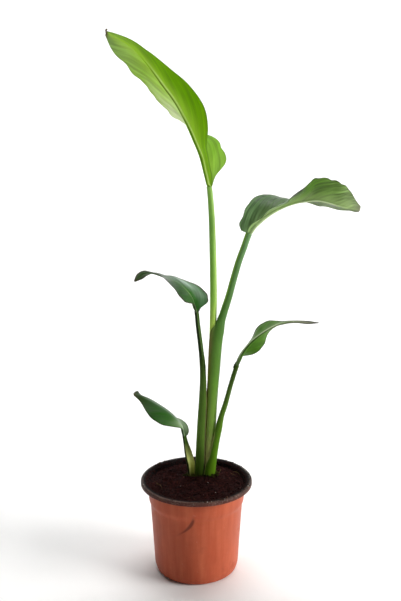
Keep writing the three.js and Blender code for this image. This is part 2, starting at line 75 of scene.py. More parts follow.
# stalk: x, y, z, half width, half depth. rib: x, y, z of the midrib.
# near and far halves: share of the blade's length, width, turn in degrees.
# waves: height at the widest point, number along the blade, share of a wave that the first one starts at.
# grip: height, direction that the stalk's groove or sheath opens to, half of the opening's angle, how hollow it is,
# wall thickness.
# creases: half, where it leaves the midrib in mm from the stalk, half its width, depth towards the upper face,
# how far it slants towards the tip.
# nicks: half, share of the blade's length, depth, half length.
# vein_slant: how far the veins lean towards the tip.
LEAVES = [
    {
        "stalk": [
            [12.5, 20, 96, 3.6, 3.6], [13.5, 20, 149.5, 3.6, 3.6], [16.5, 20, 199, 3.6, 3.6],
            [18, 20, 248, 3.8, 3.8], [19, 20, 283.5, 3.9, 3.9], [19.6, 20, 319, 4, 4],
            [19.2, 20, 353.5, 3.9, 3.9], [18.3, 20, 388, 3.7, 3.7], [17, 20, 419.5, 3.4, 3.4],
            [14.5, 20, 447, 3, 3],
        ],
        "rib": [
            [11, 18, 464.5], [6, 15, 482], [-2, 12, 500], [-12.5, 10, 521.5], [-23, 10, 539],
            [-34.5, 12, 554], [-45, 15, 568], [-56.5, 20, 582.5], [-70, 25, 596.5], [-97.5, 32, 612.5],
        ],
        "near": [
            [0, 4, 50], [0.05, 9, 58], [0.1, 14, 68], [0.2, 22.5, 72], [0.3, 29, 52], [0.4, 31, 39],
            [0.5, 29, 42], [0.6, 24.5, 48], [0.7, 20, 55], [0.8, 17, 66], [0.9, 12, 69], [1, 2, 60],
        ],
        "far": [
            [0, 3, 0], [0.05, 9.5, -8], [0.1, 25.5, -18], [0.15, 28, -29], [0.2, 28, -38], [0.26, 30, -68],
            [0.33, 32, -94], [0.4, 32, -104], [0.5, 30, -119], [0.6, 28, -122], [0.7, 27, -128],
            [0.8, 24.5, -139], [0.9, 20, -149], [0.96, 13, -150], [1, 4, -150],
        ],
        "near_wave": [0.5, 3, 0],
        "far_wave": [1.5, 6, 0.2],
        "grip": [[66, 25, 28, 0, 1], [430, 25, 28, 0, 1], [447, 25, 25, 0, 1]],
        "creases": [
            ["far", 92, 7, -1.3, 3.6], ["far", 74, 7, 1.4, 3.6], ["far", 54, 7, -1.2, 3.4],
            ["far", 36, 6, 0.9, 3.2], ["far", 20, 5, 0.8, 0.8], ["near", 30, 7, 0.7, 3.4],
            ["near", 62, 8, -0.7, 3.4],
        ],
        "nicks": [
            ["far", 0.385, 2.2, 3], ["far", 0.47, 2.4, 5], ["far", 0.59, 2.2, 5], ["far", 0.72, 1.2, 5],
            ["far", 0.165, 1.6, 3],
        ],
        "vein_slant": 1.9,
        "upper_side": -1,
    },
    {
        "stalk": [
            [14, 20, 96, 6.8, 6.6], [15.9, 20, 149.5, 6.7, 6.4], [18.1, 20, 199, 6.6, 6.2],
            [20.8, 20, 241, 7.2, 6.3], [22.1, 20, 263, 7.5, 6.4], [24.2, 20, 281, 7.7, 6.2],
            [28.6, 20, 297, 5.4, 4.9], [36.3, 20, 320, 4.2, 4], [41.8, 19, 341, 3.9, 3.8],
            [47.9, 19, 363, 3.8, 3.7], [53.8, 18, 380, 3.7, 3.6], [59, 18, 395, 3.6, 3.6],
        ],
        "rib": [
            [63.5, 18, 403], [72.5, 20, 411.5], [83.5, 22, 419], [96.5, 26, 425], [110, 30, 429],
            [124.5, 36, 430.5], [138.5, 40, 430.5], [153, 44, 427], [169, 48, 422], [189, 50, 418.5],
        ],
        "near": [
            [0, 4, 118], [0.1, 18, 95], [0.2, 28, 94], [0.3, 30, 94], [0.39, 30, 104], [0.49, 27.5, 130],
            [0.55, 26, 144], [0.61, 27, 164], [0.67, 27, 172], [0.78, 26, 178], [0.9, 19, 178], [0.96, 9.5, 178],
            [1, 4.5, 178],
        ],
        "far": [
            [0, 9.5, 172], [0.03, 14.5, 178], [0.07, 16, 187], [0.12, 22, 200], [0.2, 29, 212],
            [0.3, 31, 228], [0.4, 31, 246], [0.48, 30, 259], [0.56, 29, 268], [0.66, 27, 279],
            [0.75, 25, 285], [0.85, 19, 284], [0.93, 8.5, 284], [0.98, 6, 296], [1, 3, 305],
        ],
        "near_wave": [0.9, 6, 0],
        "far_wave": [0.8, 4, 0.5],
        "grip": [
            [66, 205, 28, 0.8, 2.4], [200, 205, 30, 0.85, 2.2], [281, 200, 45, 0.85, 1.6],
            [297, 185, 40, 0.4, 1.4], [320, 160, 32, 0, 1], [395, 148, 30, 0, 1],
        ],
        "creases": [
            ["near", 25, 5, 0.8, 0.9], ["near", 66, 5, -1.1, 1.1], ["near", 78, 5, 0.9, 1.3],
            ["near", 92, 5, -0.9, 1.5], ["far", 15, 5, -0.8, 0.9], ["far", 45, 5, 0.7, 0.9],
        ],
        "nicks": [["near", 0.62, 1.2, 3], ["near", 0.7, 1.4, 3], ["near", 0.78, 1.2, 3], ["far", 0.16, 0.8, 4]],
        "vein_slant": 1.3,
        "upper_side": 1,
    },
    {
        "stalk": [
            [5.5, 19, 96, 7.5, 6.2], [6.3, 19, 130, 7.4, 5.8], [7.5, 19, 165, 6.9, 5.2],
            [9.1, 19, 199.5, 6.3, 4.8], [8.7, 18, 229, 4.6, 4], [6.4, 17, 252, 3.2, 3],
            [4.8, 17, 266.5, 2.9, 2.7], [1.9, 16, 290.5, 2.7, 2.5], [0.3, 14, 306.5, 2.6, 2.4],
        ],
        "rib": [
            [-2, 10, 316.5], [-5, 6, 325.5], [-11, 2, 334.5], [-18.5, -2, 341.5], [-28.5, -6, 347.5],
            [-38.5, -8, 352], [-47, -10, 355], [-55, -10, 355.5], [-61.5, -10, 352.5], [-68, -10, 346],
        ],
        "near": [
            [0, 3, 95], [0.13, 6, 98], [0.18, 8.5, 114], [0.23, 13.5, 122], [0.33, 19, 125],
            [0.43, 18.5, 126], [0.53, 16, 117], [0.62, 15, 102], [0.72, 13, 88], [0.8, 10.5, 81],
            [0.87, 7.5, 65], [0.93, 5.2, 56], [1, 1.2, 60],
        ],
        "far": [
            [0, 3, 0], [0.035, 6.5, -8], [0.06, 15.5, -13], [0.09, 17.5, -17], [0.13, 19, -24],
            [0.18, 18.3, -37], [0.27, 19, -62], [0.37, 19, -72], [0.47, 17, -75], [0.57, 15, -79],
            [0.7, 13, -84], [0.8, 10.5, -100], [0.87, 8, -120], [0.93, 5.8, -140], [1, 1.2, -150],
        ],
        "near_wave": [0.4, 3, 0],
        "far_wave": [0.5, 4, 0.3],
        "grip": [
            [66, 0, 55, 1, 1.5], [199, 0, 60, 1, 1.3], [229, 5, 60, 0.9, 1], [250, 28, 45, 0.15, 1],
            [306, 47.5, 45, 0, 1],
        ],
        "creases": [["near", 20, 4, 0.5, 1.2], ["far", 12, 4, -0.5, 1.2], ["far", 32, 5, 0.6, 1.4]],
        "nicks": [],
        "vein_slant": 1.3,
        "upper_side": -1,
    },
    {
        "stalk": [
            [13.7, 18, 96, 8, 7.8], [15.6, 18, 117, 7.6, 7.4], [18.8, 17, 130, 5.9, 6.2],
            [22.4, 16, 150, 5, 4.6], [26.2, 15, 166.5, 4.2, 3.8], [29.3, 15, 181, 3.3, 3.2],
            [33.9, 15, 196, 3, 3], [40.1, 14, 220.5, 2.7, 2.6], [46.7, 14, 242.5, 2.7, 2.6],
        ],
        "rib": [
            [50.5, 14, 252.5], [56.5, 14, 262], [64.5, 14, 271.5], [73.5, 16, 279], [83.5, 20, 285],
            [94.5, 24, 289.5], [105, 28, 291], [117.5, 32, 290.5], [130, 36, 288.5], [144, 40, 287.5],
        ],
        "near": [
            [0, 4, 215], [0.05, 5, 245], [0.1, 8, 259], [0.2, 13, 261], [0.3, 15, 256], [0.4, 16, 237],
            [0.46, 15, 229], [0.52, 13.7, 229], [0.6, 10, 244], [0.66, 6.5, 252], [0.8, 5, 250],
            [0.9, 5.5, 246], [1, 1.5, 250],
        ],
        "far": [
            [0, 3, 290], [0.09, 6, 285], [0.12, 10, 302], [0.15, 13, 313], [0.2, 15, 322], [0.25, 15.8, 324],
            [0.3, 16, 320], [0.4, 17, 307], [0.45, 15.5, 296], [0.5, 13, 285], [0.6, 10, 279],
            [0.66, 6.5, 286], [0.8, 5, 288], [0.9, 4.5, 290], [1, 1.2, 290],
        ],
        "near_wave": [0.3, 3, 0],
        "far_wave": [0.4, 3, 0.4],
        "grip": [
            [66, 195, 55, 1, 1.5], [117, 195, 58, 1, 1.3], [130, 195, 62, 1, 1], [150, 195, 65, 0.9, 0.8],
            [166, 210, 60, 0.6, 0.8], [181, 235, 45, 0.1, 0.8], [242, 252, 37.5, 0, 0.8],
        ],
        "creases": [["near", 18, 4, 0.4, 1.2], ["far", 14, 4, -0.4, 1.2]],
        "nicks": [],
        "vein_slant": 1.3,
        "upper_side": 1,
    },
    {
        "stalk": [
            [-3.8, 17, 96, 5.4, 4.4], [-5.8, 15, 119, 5.4, 4], [-8.2, 14, 130, 5.1, 3.4],
            [-10.2, 12, 140, 4.3, 2.8], [-12.5, 10, 150, 2.9, 2.4], [-14.1, 9, 159, 2.4, 2.2],
        ],
        "rib": [
            [-16.5, 7, 172], [-21.5, 4, 181], [-28, 2, 189], [-35.5, 0, 196], [-44, -2, 202.5],
            [-51.5, -4, 208], [-58.5, -6, 212], [-64.5, -8, 215], [-71, -10, 217],
        ],
        "near": [
            [0, 3, 100], [0.1, 6, 95], [0.15, 6.5, 102], [0.2, 8, 118], [0.3, 14, 136], [0.4, 18.7, 143],
            [0.5, 21.7, 145], [0.6, 22, 147], [0.7, 19.8, 148], [0.8, 16, 147], [0.87, 11.5, 143],
            [0.93, 8.2, 138], [1, 2.5, 140],
        ],
        "far": [
            [0, 3.5, 10], [0.05, 6.5, -18], [0.1, 7.5, -34], [0.15, 9, -62], [0.2, 11, -84], [0.3, 15, -103],
            [0.4, 18, -108], [0.6, 19, -112], [0.8, 12, -112], [0.88, 7, -90], [0.94, 6, -52],
            [1, 0.9, -40],
        ],
        "near_wave": [0.3, 3, 0],
        "far_wave": [0.4, 3, 0.4],
        "grip": [
            [66, 50, 60, 1, 0.9], [96, 50, 70, 1, 0.8], [140, 50, 75, 1, 0.6], [150, 52, 60, 0.5, 0.6],
            [159, 55, 45, 0, 0.6],
        ],
        "creases": [["near", 14, 5, 0.5, 1.8], ["near", 34, 5, -0.4, 1.8]],
        "nicks": [],
        "vein_slant": 1.4,
        "upper_side": -1,
    },
]


# Numbers and curves


def keyed(rows, shares):
    """Values between key rows, by a smooth curve that levels off where the values turn."""
    table = np.asarray(rows, float)
    at, values = table[:, 0], table[:, 1:]
    slope = np.diff(values, axis=0) / np.diff(at)[:, None]
    lean = np.zeros_like(values)
    lean[0], lean[-1] = slope[0], slope[-1]
    steady = slope[:-1] * slope[1:] > 0
    lean[1:-1] = np.where(steady, (slope[:-1] + slope[1:]) / 2, 0)
    shares = np.clip(shares, at[0], at[-1])
    row = np.clip(np.searchsorted(at, shares, side="right") - 1, 0, len(at) - 2)
    span = (at[row + 1] - at[row])[:, None]
    t = (shares - at[row])[:, None] / span
    return (
        (2 * t**3 - 3 * t**2 + 1) * values[row]
        + (t**3 - 2 * t**2 + t) * span * lean[row]
        + (3 * t**2 - 2 * t**3) * values[row + 1]
        + (t**3 - t**2) * span * lean[row + 1]
    )


def unit(vectors):
    return vectors / np.linalg.norm(vectors, axis=-1, keepdims=True)


def turned(degrees, across, towards):
    """Directions turned away from across, to towards at 90 degrees."""
    angle = np.radians(degrees)[:, None]
    return np.cos(angle) * across + np.sin(angle) * towards


class LeafLine:
    """One smooth line through a leaf's stalk and midrib."""

    STEPS = 40

    def __init__(self, leaf):
        rows = np.array([row[:3] for row in leaf["stalk"] + leaf["rib"]], float)
        ends = np.vstack([2 * rows[0] - rows[1], rows, 2 * rows[-1] - rows[-2]])
        points = []
        for i in range(1, len(ends) - 2):
            before, start, end, after = ends[i - 1 : i + 3]
            spans = [max(np.linalg.norm(b - a) ** 0.5, 1e-4) for a, b in ((before, start), (start, end), (end, after))]
            lead, middle, trail = spans
            out = (start - before) / lead - (end - before) / (lead + middle) + (end - start) / middle
            into = (end - start) / middle - (after - start) / (middle + trail) + (after - end) / trail
            out, into = out * middle, into * middle
            t = np.arange(self.STEPS)[:, None] / self.STEPS
            points.append(
                start + out * t + (-3 * start + 3 * end - 2 * out - into) * t**2
                + (2 * start - 2 * end + out + into) * t**3
            )
        self.points = np.vstack(points + [ends[-2][None]])
        self.lengths = np.r_[0, np.cumsum(np.linalg.norm(np.diff(self.points, axis=0), axis=1))]
        self.total = self.lengths[-1]
        self.joint = self.lengths[(len(leaf["stalk"]) - 1) * self.STEPS]
        self.stalk_lengths = self.lengths[: (len(leaf["stalk"]) - 1) * self.STEPS + 1 : self.STEPS]

    def spots(self, lengths):
        return np.stack([np.interp(lengths, self.lengths, self.points[:, k]) for k in range(3)], -1)

    def at(self, lengths):
        """Points with their directions: along to the tip, across, and towards the viewer."""
        reach = 1.5
        point = self.spots(lengths)
        along = unit(self.spots(np.minimum(lengths + reach, self.total)) - self.spots(np.maximum(lengths - reach, 0)))
        towards = unit(np.array(VIEWER) - point)
        towards = unit(towards - along * (along * towards).sum(-1, keepdims=True))
        return point, np.cross(along, towards), towards


# Objects and meshes


def placed(name, data, place=(0, 0, 0), aim=None):
    """A new object in the scene. With an aim it looks at that spot."""
    made = bpy.data.objects.new(name, data)
    made.location = place
    if aim:
        made.rotation_euler = (Vector(aim) - Vector(place)).to_track_quat("-Z", "Y").to_euler()
    bpy.context.scene.collection.objects.link(made)
    return made


def mesh_piece(name, points, faces):
    """A mesh object from points in millimetres."""
    mesh = bpy.data.meshes.new(name)
    mesh.from_pydata((np.asarray(points, float) * MM).tolist(), [], faces)
    bm = bmesh.new()
    bm.from_mesh(mesh)
    bmesh.ops.recalc_face_normals(bm, faces=bm.faces)
    if bm.calc_volume(signed=True) < 0:
        bmesh.ops.reverse_faces(bm, faces=bm.faces)
    bm.to_mesh(mesh)
    bm.free()
    mesh.polygons.foreach_set("use_smooth", [True] * len(mesh.polygons))
    return placed(name, mesh)


def ring_faces(rings, sides):
    """Quads between closed rings of points, and one face over each end."""
    faces = []
    for ring in range(rings - 1):
        for side in range(sides):
            a = ring * sides + side
            b = ring * sides + (side + 1) % sides
            faces.append((a, b, b + sides, a + sides))
    faces.append(tuple(range(sides))[::-1])
    faces.append(tuple(range((rings - 1) * sides, rings * sides)))
    return faces


def store(piece, name, values):
    """Keeps values for the piece's points, for its material to read."""
    values = np.asarray(values, np.float32)
    if values.ndim == 1:
        piece.data.attributes.new(name, "FLOAT", "POINT").data.foreach_set("value", values)
    else:
        piece.data.attributes.new(name, "FLOAT_VECTOR", "POINT").data.foreach_set("vector", values.ravel())


def finish_piece(piece, slot, materials, *nodes):
    for material in materials:
        piece.data.materials.append(material)
    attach(piece, "root")
    if nodes:
        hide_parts(*nodes)


# Blades

# Rings of points along the midrib in each mm, points across a face, points round the keel
RINGS_PER_MM = 1.15
BLADE_COLUMNS = 22
KEEL_POINTS = 11
# Each half: thickness, least width, how far it bulges as a share of its width, how far its edge is rounded out
LAMINA = 0.5
NARROWEST = 0.8
HALF_BULGE = 0.035
MARGIN_ROUND = 0.12
# Side veins: distance from one to the next, height of their pleats, width of a half from which they have it in full
VEIN_SPACING = 6.0
VEIN_RELIEF = 0.1
FULL_RELIEF_WIDTH = 30
# The keel below the midrib: its thickness along the blade as a share of the stalk's, and in mm near the tip, its most
# as a share of a half's width, and how deep its centre lies as a share of its thickness
KEEL_TAPER = [(0, 1), (0.12, 0.85), (0.4, 0.5)]
KEEL_TIP = [(0.8, 0.7), (1, 0.4)]
KEEL_MOST = 0.6
KEEL_SINK = 0.4
# The groove above the midrib: its floor as a share of the keel's thickness, and where along the blade it ends
GROOVE_FLOOR = 0.62
GROOVE_REACH = 0.12
FAR_FROM_MARGIN = 30.0


def vein_place(leaf, lengths, dist, width):
    """Where along the midrib the vein through a spot starts: veins leave it at a slant and curve to the tip."""
    out = dist / width
    return lengths - leaf["vein_slant"] * width * (0.8 * out + 0.45 * out**2)


def edge_nicks(leaf, half, shares, length):
    cut = np.zeros_like(shares)
    for side, share, depth, reach in leaf["nicks"]:
        if side == half:
            cut += depth * np.exp(-(((shares - share) * length / reach) ** 2))
    return cut


def half_surface(leaf, half, frame_at, shares, length, dist, width, turn):
    """Points of one half's middle surface at distances from the midrib, and its directions."""
    point, across, towards = frame_at
    out, square = turned(turn, across, towards), turned(turn, towards, -across)
    facing = leaf["upper_side"] * (1 if half == "near" else -1)
    upper = square * facing
    u = dist / width[:, None]
    height, count, start = leaf[half + "_wave"]
    swell = height * width / width.max() * np.sin(2 * np.pi * (count * shares + start))
    lift = HALF_BULGE * width[:, None] * 4 * u * (1 - u)
    vein = vein_place(leaf, shares[:, None] * length, dist, width[:, None])
    fade = np.clip(u * 5, 0, 1) * np.clip((1 - u) * 6, 0, 1)
    relief = VEIN_RELIEF * np.minimum(1, width[:, None] / FULL_RELIEF_WIDTH) ** 2
    lift += relief * fade * np.sin(2 * np.pi * vein / VEIN_SPACING)
    for side, start, reach, depth, slant in leaf["creases"]:
        if side == half:
            off = (shares[:, None] * length - slant * dist - start) / reach
            lift += depth * np.sin(np.pi * np.clip(u, 0, 1)) * np.exp(-(off**2))
    points = (
        point[:, None] + out[:, None] * dist[..., None]
        + square[:, None] * (swell[:, None] * u**2)[..., None]
        + upper[:, None] * lift[..., None]
    )
    return points, out, upper, vein, u


def surface_normals(points, upper):
    along = np.gradient(points, axis=0)
    outward = np.gradient(points, axis=1)
    normal = unit(np.cross(along, outward))
    return normal * np.sign((normal * upper[:, None]).sum(-1, keepdims=True))


def blade_piece(index):
    leaf = LEAVES[index]
    line = LeafLine(leaf)
    start = line.joint
    length = line.total - start
    rings = int(length * RINGS_PER_MM)
    shares = np.linspace(0, 1, rings)
    frame_at = line.at(start + shares * length)
    point, across, towards = frame_at
    turns, widths = {}, {}
    for half in ("near", "far"):
        rows = keyed(leaf[half], shares)
        widths[half] = np.maximum(rows[:, 0] - edge_nicks(leaf, half, shares, length), NARROWEST)
        turns[half] = rows[:, 1]
    inward = turned((turns["near"] + turns["far"]) / 2, across, towards)
    half_angle = np.clip(np.abs(np.radians(turns["far"] - turns["near"])) / 2, 0.2, 2.7)
    thin = LAMINA / 2
    base = leaf["stalk"][-1][3]
    keel = keyed([(at, base * part) for at, part in KEEL_TAPER] + KEEL_TIP, shares)[:, 0]
    narrow = np.minimum(widths["near"], widths["far"])
    keel = np.minimum(keel, KEEL_MOST * narrow)
    drop = keel * KEEL_SINK * np.minimum(1, shares * 10)
    sin_h, cos_h = np.sin(half_angle), np.cos(half_angle)

    # where the lower face leaves the keel, and where the upper face leaves the groove
    reach = drop**2 * cos_h**2 - (thin**2 * cos_h**2 + (drop - thin * sin_h) ** 2 - keel**2)
    low_start = -drop * cos_h + np.sqrt(np.maximum(reach, 0.01))
    low_start = np.maximum(low_start, thin * np.abs(cos_h) / sin_h + 0.05)
    low_start = np.minimum(low_start, 0.8 * narrow)
    groove = keel * GROOVE_FLOOR * np.clip(1 - shares / GROOVE_REACH, 0, 1) ** 2
    floor = np.maximum(thin / np.maximum(sin_h, 0.3), groove)
    high_start = np.maximum(0.25, np.where(cos_h > 0, thin * cos_h / sin_h, 0) + 0.1)
    high_start = np.maximum(high_start, (floor - thin * sin_h) / np.maximum(cos_h, 0.3))
    high_start = np.minimum(high_start, 0.75 * narrow)

    columns = np.linspace(0, 1, BLADE_COLUMNS)
    columns = columns + 0.06 * np.sin(2 * np.pi * columns)
    blocks, marks, lines, sides = [], [], [], []

    def add(points, u, upper, vein, rib, margin, side):
        full = np.broadcast_to
        blocks.append(points)
        shape = points.shape[:2]
        marks.append(np.stack([full(shares[:, None], shape), full(u, shape), full(upper, shape)], -1))
        lines.append(np.stack([full(vein, shape), full(rib, shape), full(margin, shape)], -1))
        sides.append(full(side, shape))

    def face(half, high):
        width = widths[half]
        begin = high_start if high else low_start
        dist = begin[:, None] + (width - begin)[:, None] * columns
        points, out, upper, vein, u = half_surface(
            leaf, half, frame_at, shares, length, dist, width, turns[half]
        )
        thick = thin * (1 - 0.45 * u) * np.minimum(1, width[:, None] / 4)
        away = surface_normals(points, upper) * thick[..., None]
        points = points + away if high else points - away
        return points, u, vein, dist, width[:, None] - dist, out

    low_out = low_start * sin_h + thin * cos_h
    low_in = low_start * cos_h - thin * sin_h + drop
    bend = np.arctan2(low_out, low_in)
    crest_reach = keel * (np.pi - bend)
    side_mark = {"near": 0.0, "far": 1.0}

    def lay(half, high, outwards):
        points, u, vein, dist, margin, out = face(half, high)
        if not high:
            dist = dist - low_start[:, None] + crest_reach[:, None]
        if not outwards:
            points, u, vein, dist, margin = (a[:, ::-1] for a in (points, u, vein, dist, margin))
        add(points, u, float(high), vein, dist, margin, side_mark[half])

    def tip_edge(half):
        high, _, vein, _, _, out = face(half, True)
        low = face(half, False)[0]
        edge = (high[:, -1] + low[:, -1]) / 2 + out * MARGIN_ROUND
        add(edge[:, None], 1.0, 0.5, vein[:, -1:], widths[half][:, None], 0.0, side_mark[half])

    lay("near", True, False)
    groove_point = point + inward * floor[:, None]
    add(groove_point[:, None], 0.0, 1.0, shares[:, None] * length, 0.0, FAR_FROM_MARGIN, 0.5)
    lay("far", True, True)
    tip_edge("far")
    lay("far", False, False)
    centre = point - inward * drop[:, None]
    sideways = {}
    for half in ("near", "far"):
        out = turned(turns[half], across, towards)
        flat = out - inward * (out * inward).sum(-1, keepdims=True)
        sideways[half] = unit(flat)
    for step in range(KEEL_POINTS):
        t = (step + 1) / (KEEL_POINTS + 1)
        turn = bend + (2 * np.pi - 2 * bend) * t
        spot = centre + keel[:, None] * (
            np.cos(turn)[:, None] * inward + np.sin(turn)[:, None] * sideways["far"]
        )
        from_crest = (keel * np.abs(turn - np.pi))[:, None]
        add(spot[:, None], 0.0, 0.0, shares[:, None] * length, from_crest, FAR_FROM_MARGIN, 1 - t)
    lay("near", False, True)
    tip_edge("near")

    points = np.concatenate(blocks, axis=1)
    piece = mesh_piece(f"leaf_{index + 1}_blade_skin", points.reshape(-1, 3), ring_faces(*points.shape[:2]))
    store(piece, "leaf_place", np.concatenate(marks, axis=1).reshape(-1, 3))
    store(piece, "leaf_lines", np.concatenate(lines, axis=1).reshape(-1, 3))
    store(piece, "leaf_half", np.concatenate(sides, axis=1).ravel())
    return piece


# The dried, curled end of the youngest blade
TIP_HOOK = [
    (-96.4, 31.8, 610.5), (-97.4, 32, 612.5), (-97.6, 32.2, 614.2), (-96.9, 32.3, 615.3), (-96, 32.2, 615.2),
]
# The small swelling where leaf 4's stalk joins its blade
JOINT_BUMP = [(44.6, 14, 239.2), (43.9, 13.7, 240.4), (43.4, 13.5, 241.8), (43.7, 13.6, 243.2), (45.2, 14, 244.6)]


def tube_piece(name, path, thick, sides):
    points, faces = thread([Vector(spot) for spot in path], thick, sides)
    return mesh_piece(name, points, faces)


# Stalks

# Rings of points along a stalk in each mm, rings below the soil, points round its outside and its groove or hollow
STALK_RINGS_PER_MM = 0.8
BURIED_RINGS = 11
STALK_OUTER = 44
STALK_INNER = 28
# How far a stalk goes on into its blade
STALK_OVERLAP = 0.8
# A sheath keeps this far off the stalks inside it, with its outer and its inner face, from this depth in the soil up
SHEATH_GAP = 0.9
SHEATH_GAP_INSIDE = 0.2
SHEATH_DEPTH = 40


def stalk_sizes(leaf, line, lengths):
    """Half width and half depth of a stalk."""
    return keyed([[at, *row[3:5]] for at, row in zip(line.stalk_lengths, leaf["stalk"])], lengths)


def stalk_at_height(leaf):
    """Centre and half sizes of a stalk at each height."""
    line = LeafLine(leaf)
    lengths = np.linspace(0, line.joint, 200)
    return np.column_stack([line.spots(lengths), stalk_sizes(leaf, line, lengths)])


def pushed_out(points, inner, clearance):
    """Moves points that lie inside an inner stalk out to its surface, so that a sheath wraps it."""
    heights = inner[:, 2]
    inside_range = (points[..., 2] > heights[0] - SHEATH_DEPTH) & (points[..., 2] < heights[-1])
    middle_x, middle_y, _, wide, deep = (np.interp(points[..., 2], heights, values) for values in inner.T)
    x, y = points[..., 0] - middle_x, points[..., 1] - middle_y
    share = np.sqrt((x / (wide + clearance)) ** 2 + (y / (deep + clearance)) ** 2)
    scale = np.where(inside_range & (share < 1), 1 / np.maximum(share, 0.05), 1)
    moved = points.copy()
    moved[..., 0] += x * (scale - 1)
    moved[..., 1] += y * (scale - 1)
    return moved


def stalk_piece(index):
    leaf = LEAVES[index]
    line = LeafLine(leaf)
    lengths = np.linspace(0, line.joint + STALK_OVERLAP, int(line.joint * STALK_RINGS_PER_MM))
    point, across, towards = line.at(lengths)
    buried = np.linspace(STALK_FOOT, point[0, 2], BURIED_RINGS + 1)[:-1]
    point, across, towards, sizes = (
        np.vstack([np.repeat(rows[:1], BURIED_RINGS, 0), rows])
        for rows in (point, across, towards, stalk_sizes(leaf, line, lengths))
    )
    point[:BURIED_RINGS, 2] = buried
    grip = keyed(leaf["grip"], point[:, 2])
    opening, half_opening, hollow, wall = (grip[:, k] for k in range(4))
    wide, deep = sizes[:, 0], sizes[:, 1]

    def spots(angle, shrink):
        a = np.radians(angle)
        return (
            point[:, None]
            + across[:, None] * (np.maximum(wide[:, None] - shrink, 0.1) * np.cos(a))[..., None]
            + towards[:, None] * (np.maximum(deep[:, None] - shrink, 0.1) * np.sin(a))[..., None]
        )

    t = np.linspace(0, 1, STALK_OUTER)
    around = opening[:, None] + half_opening[:, None] + (360 - 2 * half_opening[:, None]) * t
    outside = spots(around, 0)
    v = np.linspace(0, 1, STALK_INNER + 2)[1:-1]
    back = opening[:, None] - half_opening[:, None] - (360 - 2 * half_opening[:, None]) * v
    thin = wall[:, None] * (0.35 + 0.65 * np.minimum(1, 6 * np.minimum(v, 1 - v)))
    inside = spots(back, thin)
    first, last = outside[:, -1:], outside[:, :1]
    chord = first + (last - first) * v[:, None]
    radius = (wide + deep) / 2
    sag = radius * np.maximum(np.cos(np.radians(half_opening)) - GROOVE_FLOOR, 0.06)
    facing = turned(opening, across, towards)
    bow = 4 * v * (1 - v)
    channel = chord - facing[:, None] * (sag[:, None] * bow)[..., None]
    mix = hollow[:, None, None]
    inside = channel * (1 - mix) + inside * mix
    for inner_leaf in LEAVES[:index]:
        inner = stalk_at_height(inner_leaf)
        outside = pushed_out(outside, inner, SHEATH_GAP)
        inside = pushed_out(inside, inner, SHEATH_GAP_INSIDE)
    points = np.concatenate([outside, inside], axis=1)
    shape = points.shape[:2]
    piece = mesh_piece(f"leaf_{index + 1}_stalk_skin", points.reshape(-1, 3), ring_faces(*shape))
    share = np.clip((point[:, 2] - SOIL_EDGE_HEIGHT) / (point[-1, 2] - SOIL_EDGE_HEIGHT), 0, 1)
    rim = np.concatenate([np.minimum(t, 1 - t) * (360 - 2 * half_opening.mean()), np.minimum(v, 1 - v) * 200])
    rim = np.broadcast_to(rim, shape) * np.pi / 180 * radius[:, None]
    inner_mark = np.broadcast_to(np.r_[np.zeros(len(t)), np.ones(len(v))], shape)
    place = np.stack([np.broadcast_to(share[:, None], shape), rim, inner_mark], -1)
    store(piece, "stalk_place", place.reshape(-1, 3))
    store(piece, "stalk_turn", np.broadcast_to(np.concatenate([t, 1 - v]), shape).ravel())
    return piece


# Pot


def rounded(profile, radius, steps=4):
    """The profile with each corner inside it turned into a small curve."""
    made = [profile[0]]
    for before, corner, after in zip(profile, profile[1:], profile[2:]):
        into, away = Vector(before) - Vector(corner), Vector(after) - Vector(corner)
        near = Vector(corner) + into.normalized() * min(radius, into.length * 0.4)
        far = Vector(corner) + away.normalized() * min(radius, away.length * 0.4)
        for step in range(steps + 1):
            t = step / steps
            spot = near * (1 - t) ** 2 + Vector(corner) * 2 * t * (1 - t) + far * t**2
            made.append(tuple(spot))
    made.append(profile[-1])
    return made


def divided(profile, longest):
    made = [profile[0]]
    for start, end in zip(profile, profile[1:]):
        pieces = max(1, math.ceil(math.dist(start, end) / longest))
        made += [tuple(Vector(start).lerp(Vector(end), k / pieces)) for k in range(1, pieces + 1)]
    return made


POT_SIDES = 192
LONGEST_FACE = 6
CORNER_CURVE = 2.2
RIM_CORNER_CURVE = 0.7
POT_DENT = 0.12
# The scratch on the front: where it starts, its length and width, and how it leans and bends to the left
SCRATCH_TOP = 84.0
SCRATCH_SIDE = -3.5
SCRATCH_DROP = 15.0
SCRATCH_WIDTH = 1.7
SCRATCH_LEAN = 0.19
SCRATCH_BEND = 32.0
# The rim is browner from this radius outwards, and its skirt from this height down
LIP_START = 61.0
LIP_FADE = 2.4
SKIRT_TOP = 109.2
SKIRT_FADE = 1.6
# Profiles of the pot: radius and height
OUTSIDE = [
    (0, 0), (43, 0), (45.4, 0.5), (47.6, 2.2), (49.3, 8), (53.8, 82), (55.7, 87), (56.4, 103.8),
]
LIP_AND_INSIDE = [
    (56.4, 103.8), (57.4, 106.8), (58.8, 108.4), (63.6, 108.4), (63.8, 105.5), (RIM_RADIUS, 105.5),
    (RIM_RADIUS, 109.2), (64.2, POT_HEIGHT), (59.8, POT_HEIGHT), (57.2, 108.4), (56.4 - WALL, 104),
    (55.8 - WALL, 85.4), (53.6 - WALL, 79.4), (49.3 - WALL, 8.3), (46.6, 3.2), (44, WALL), (0, WALL),
]


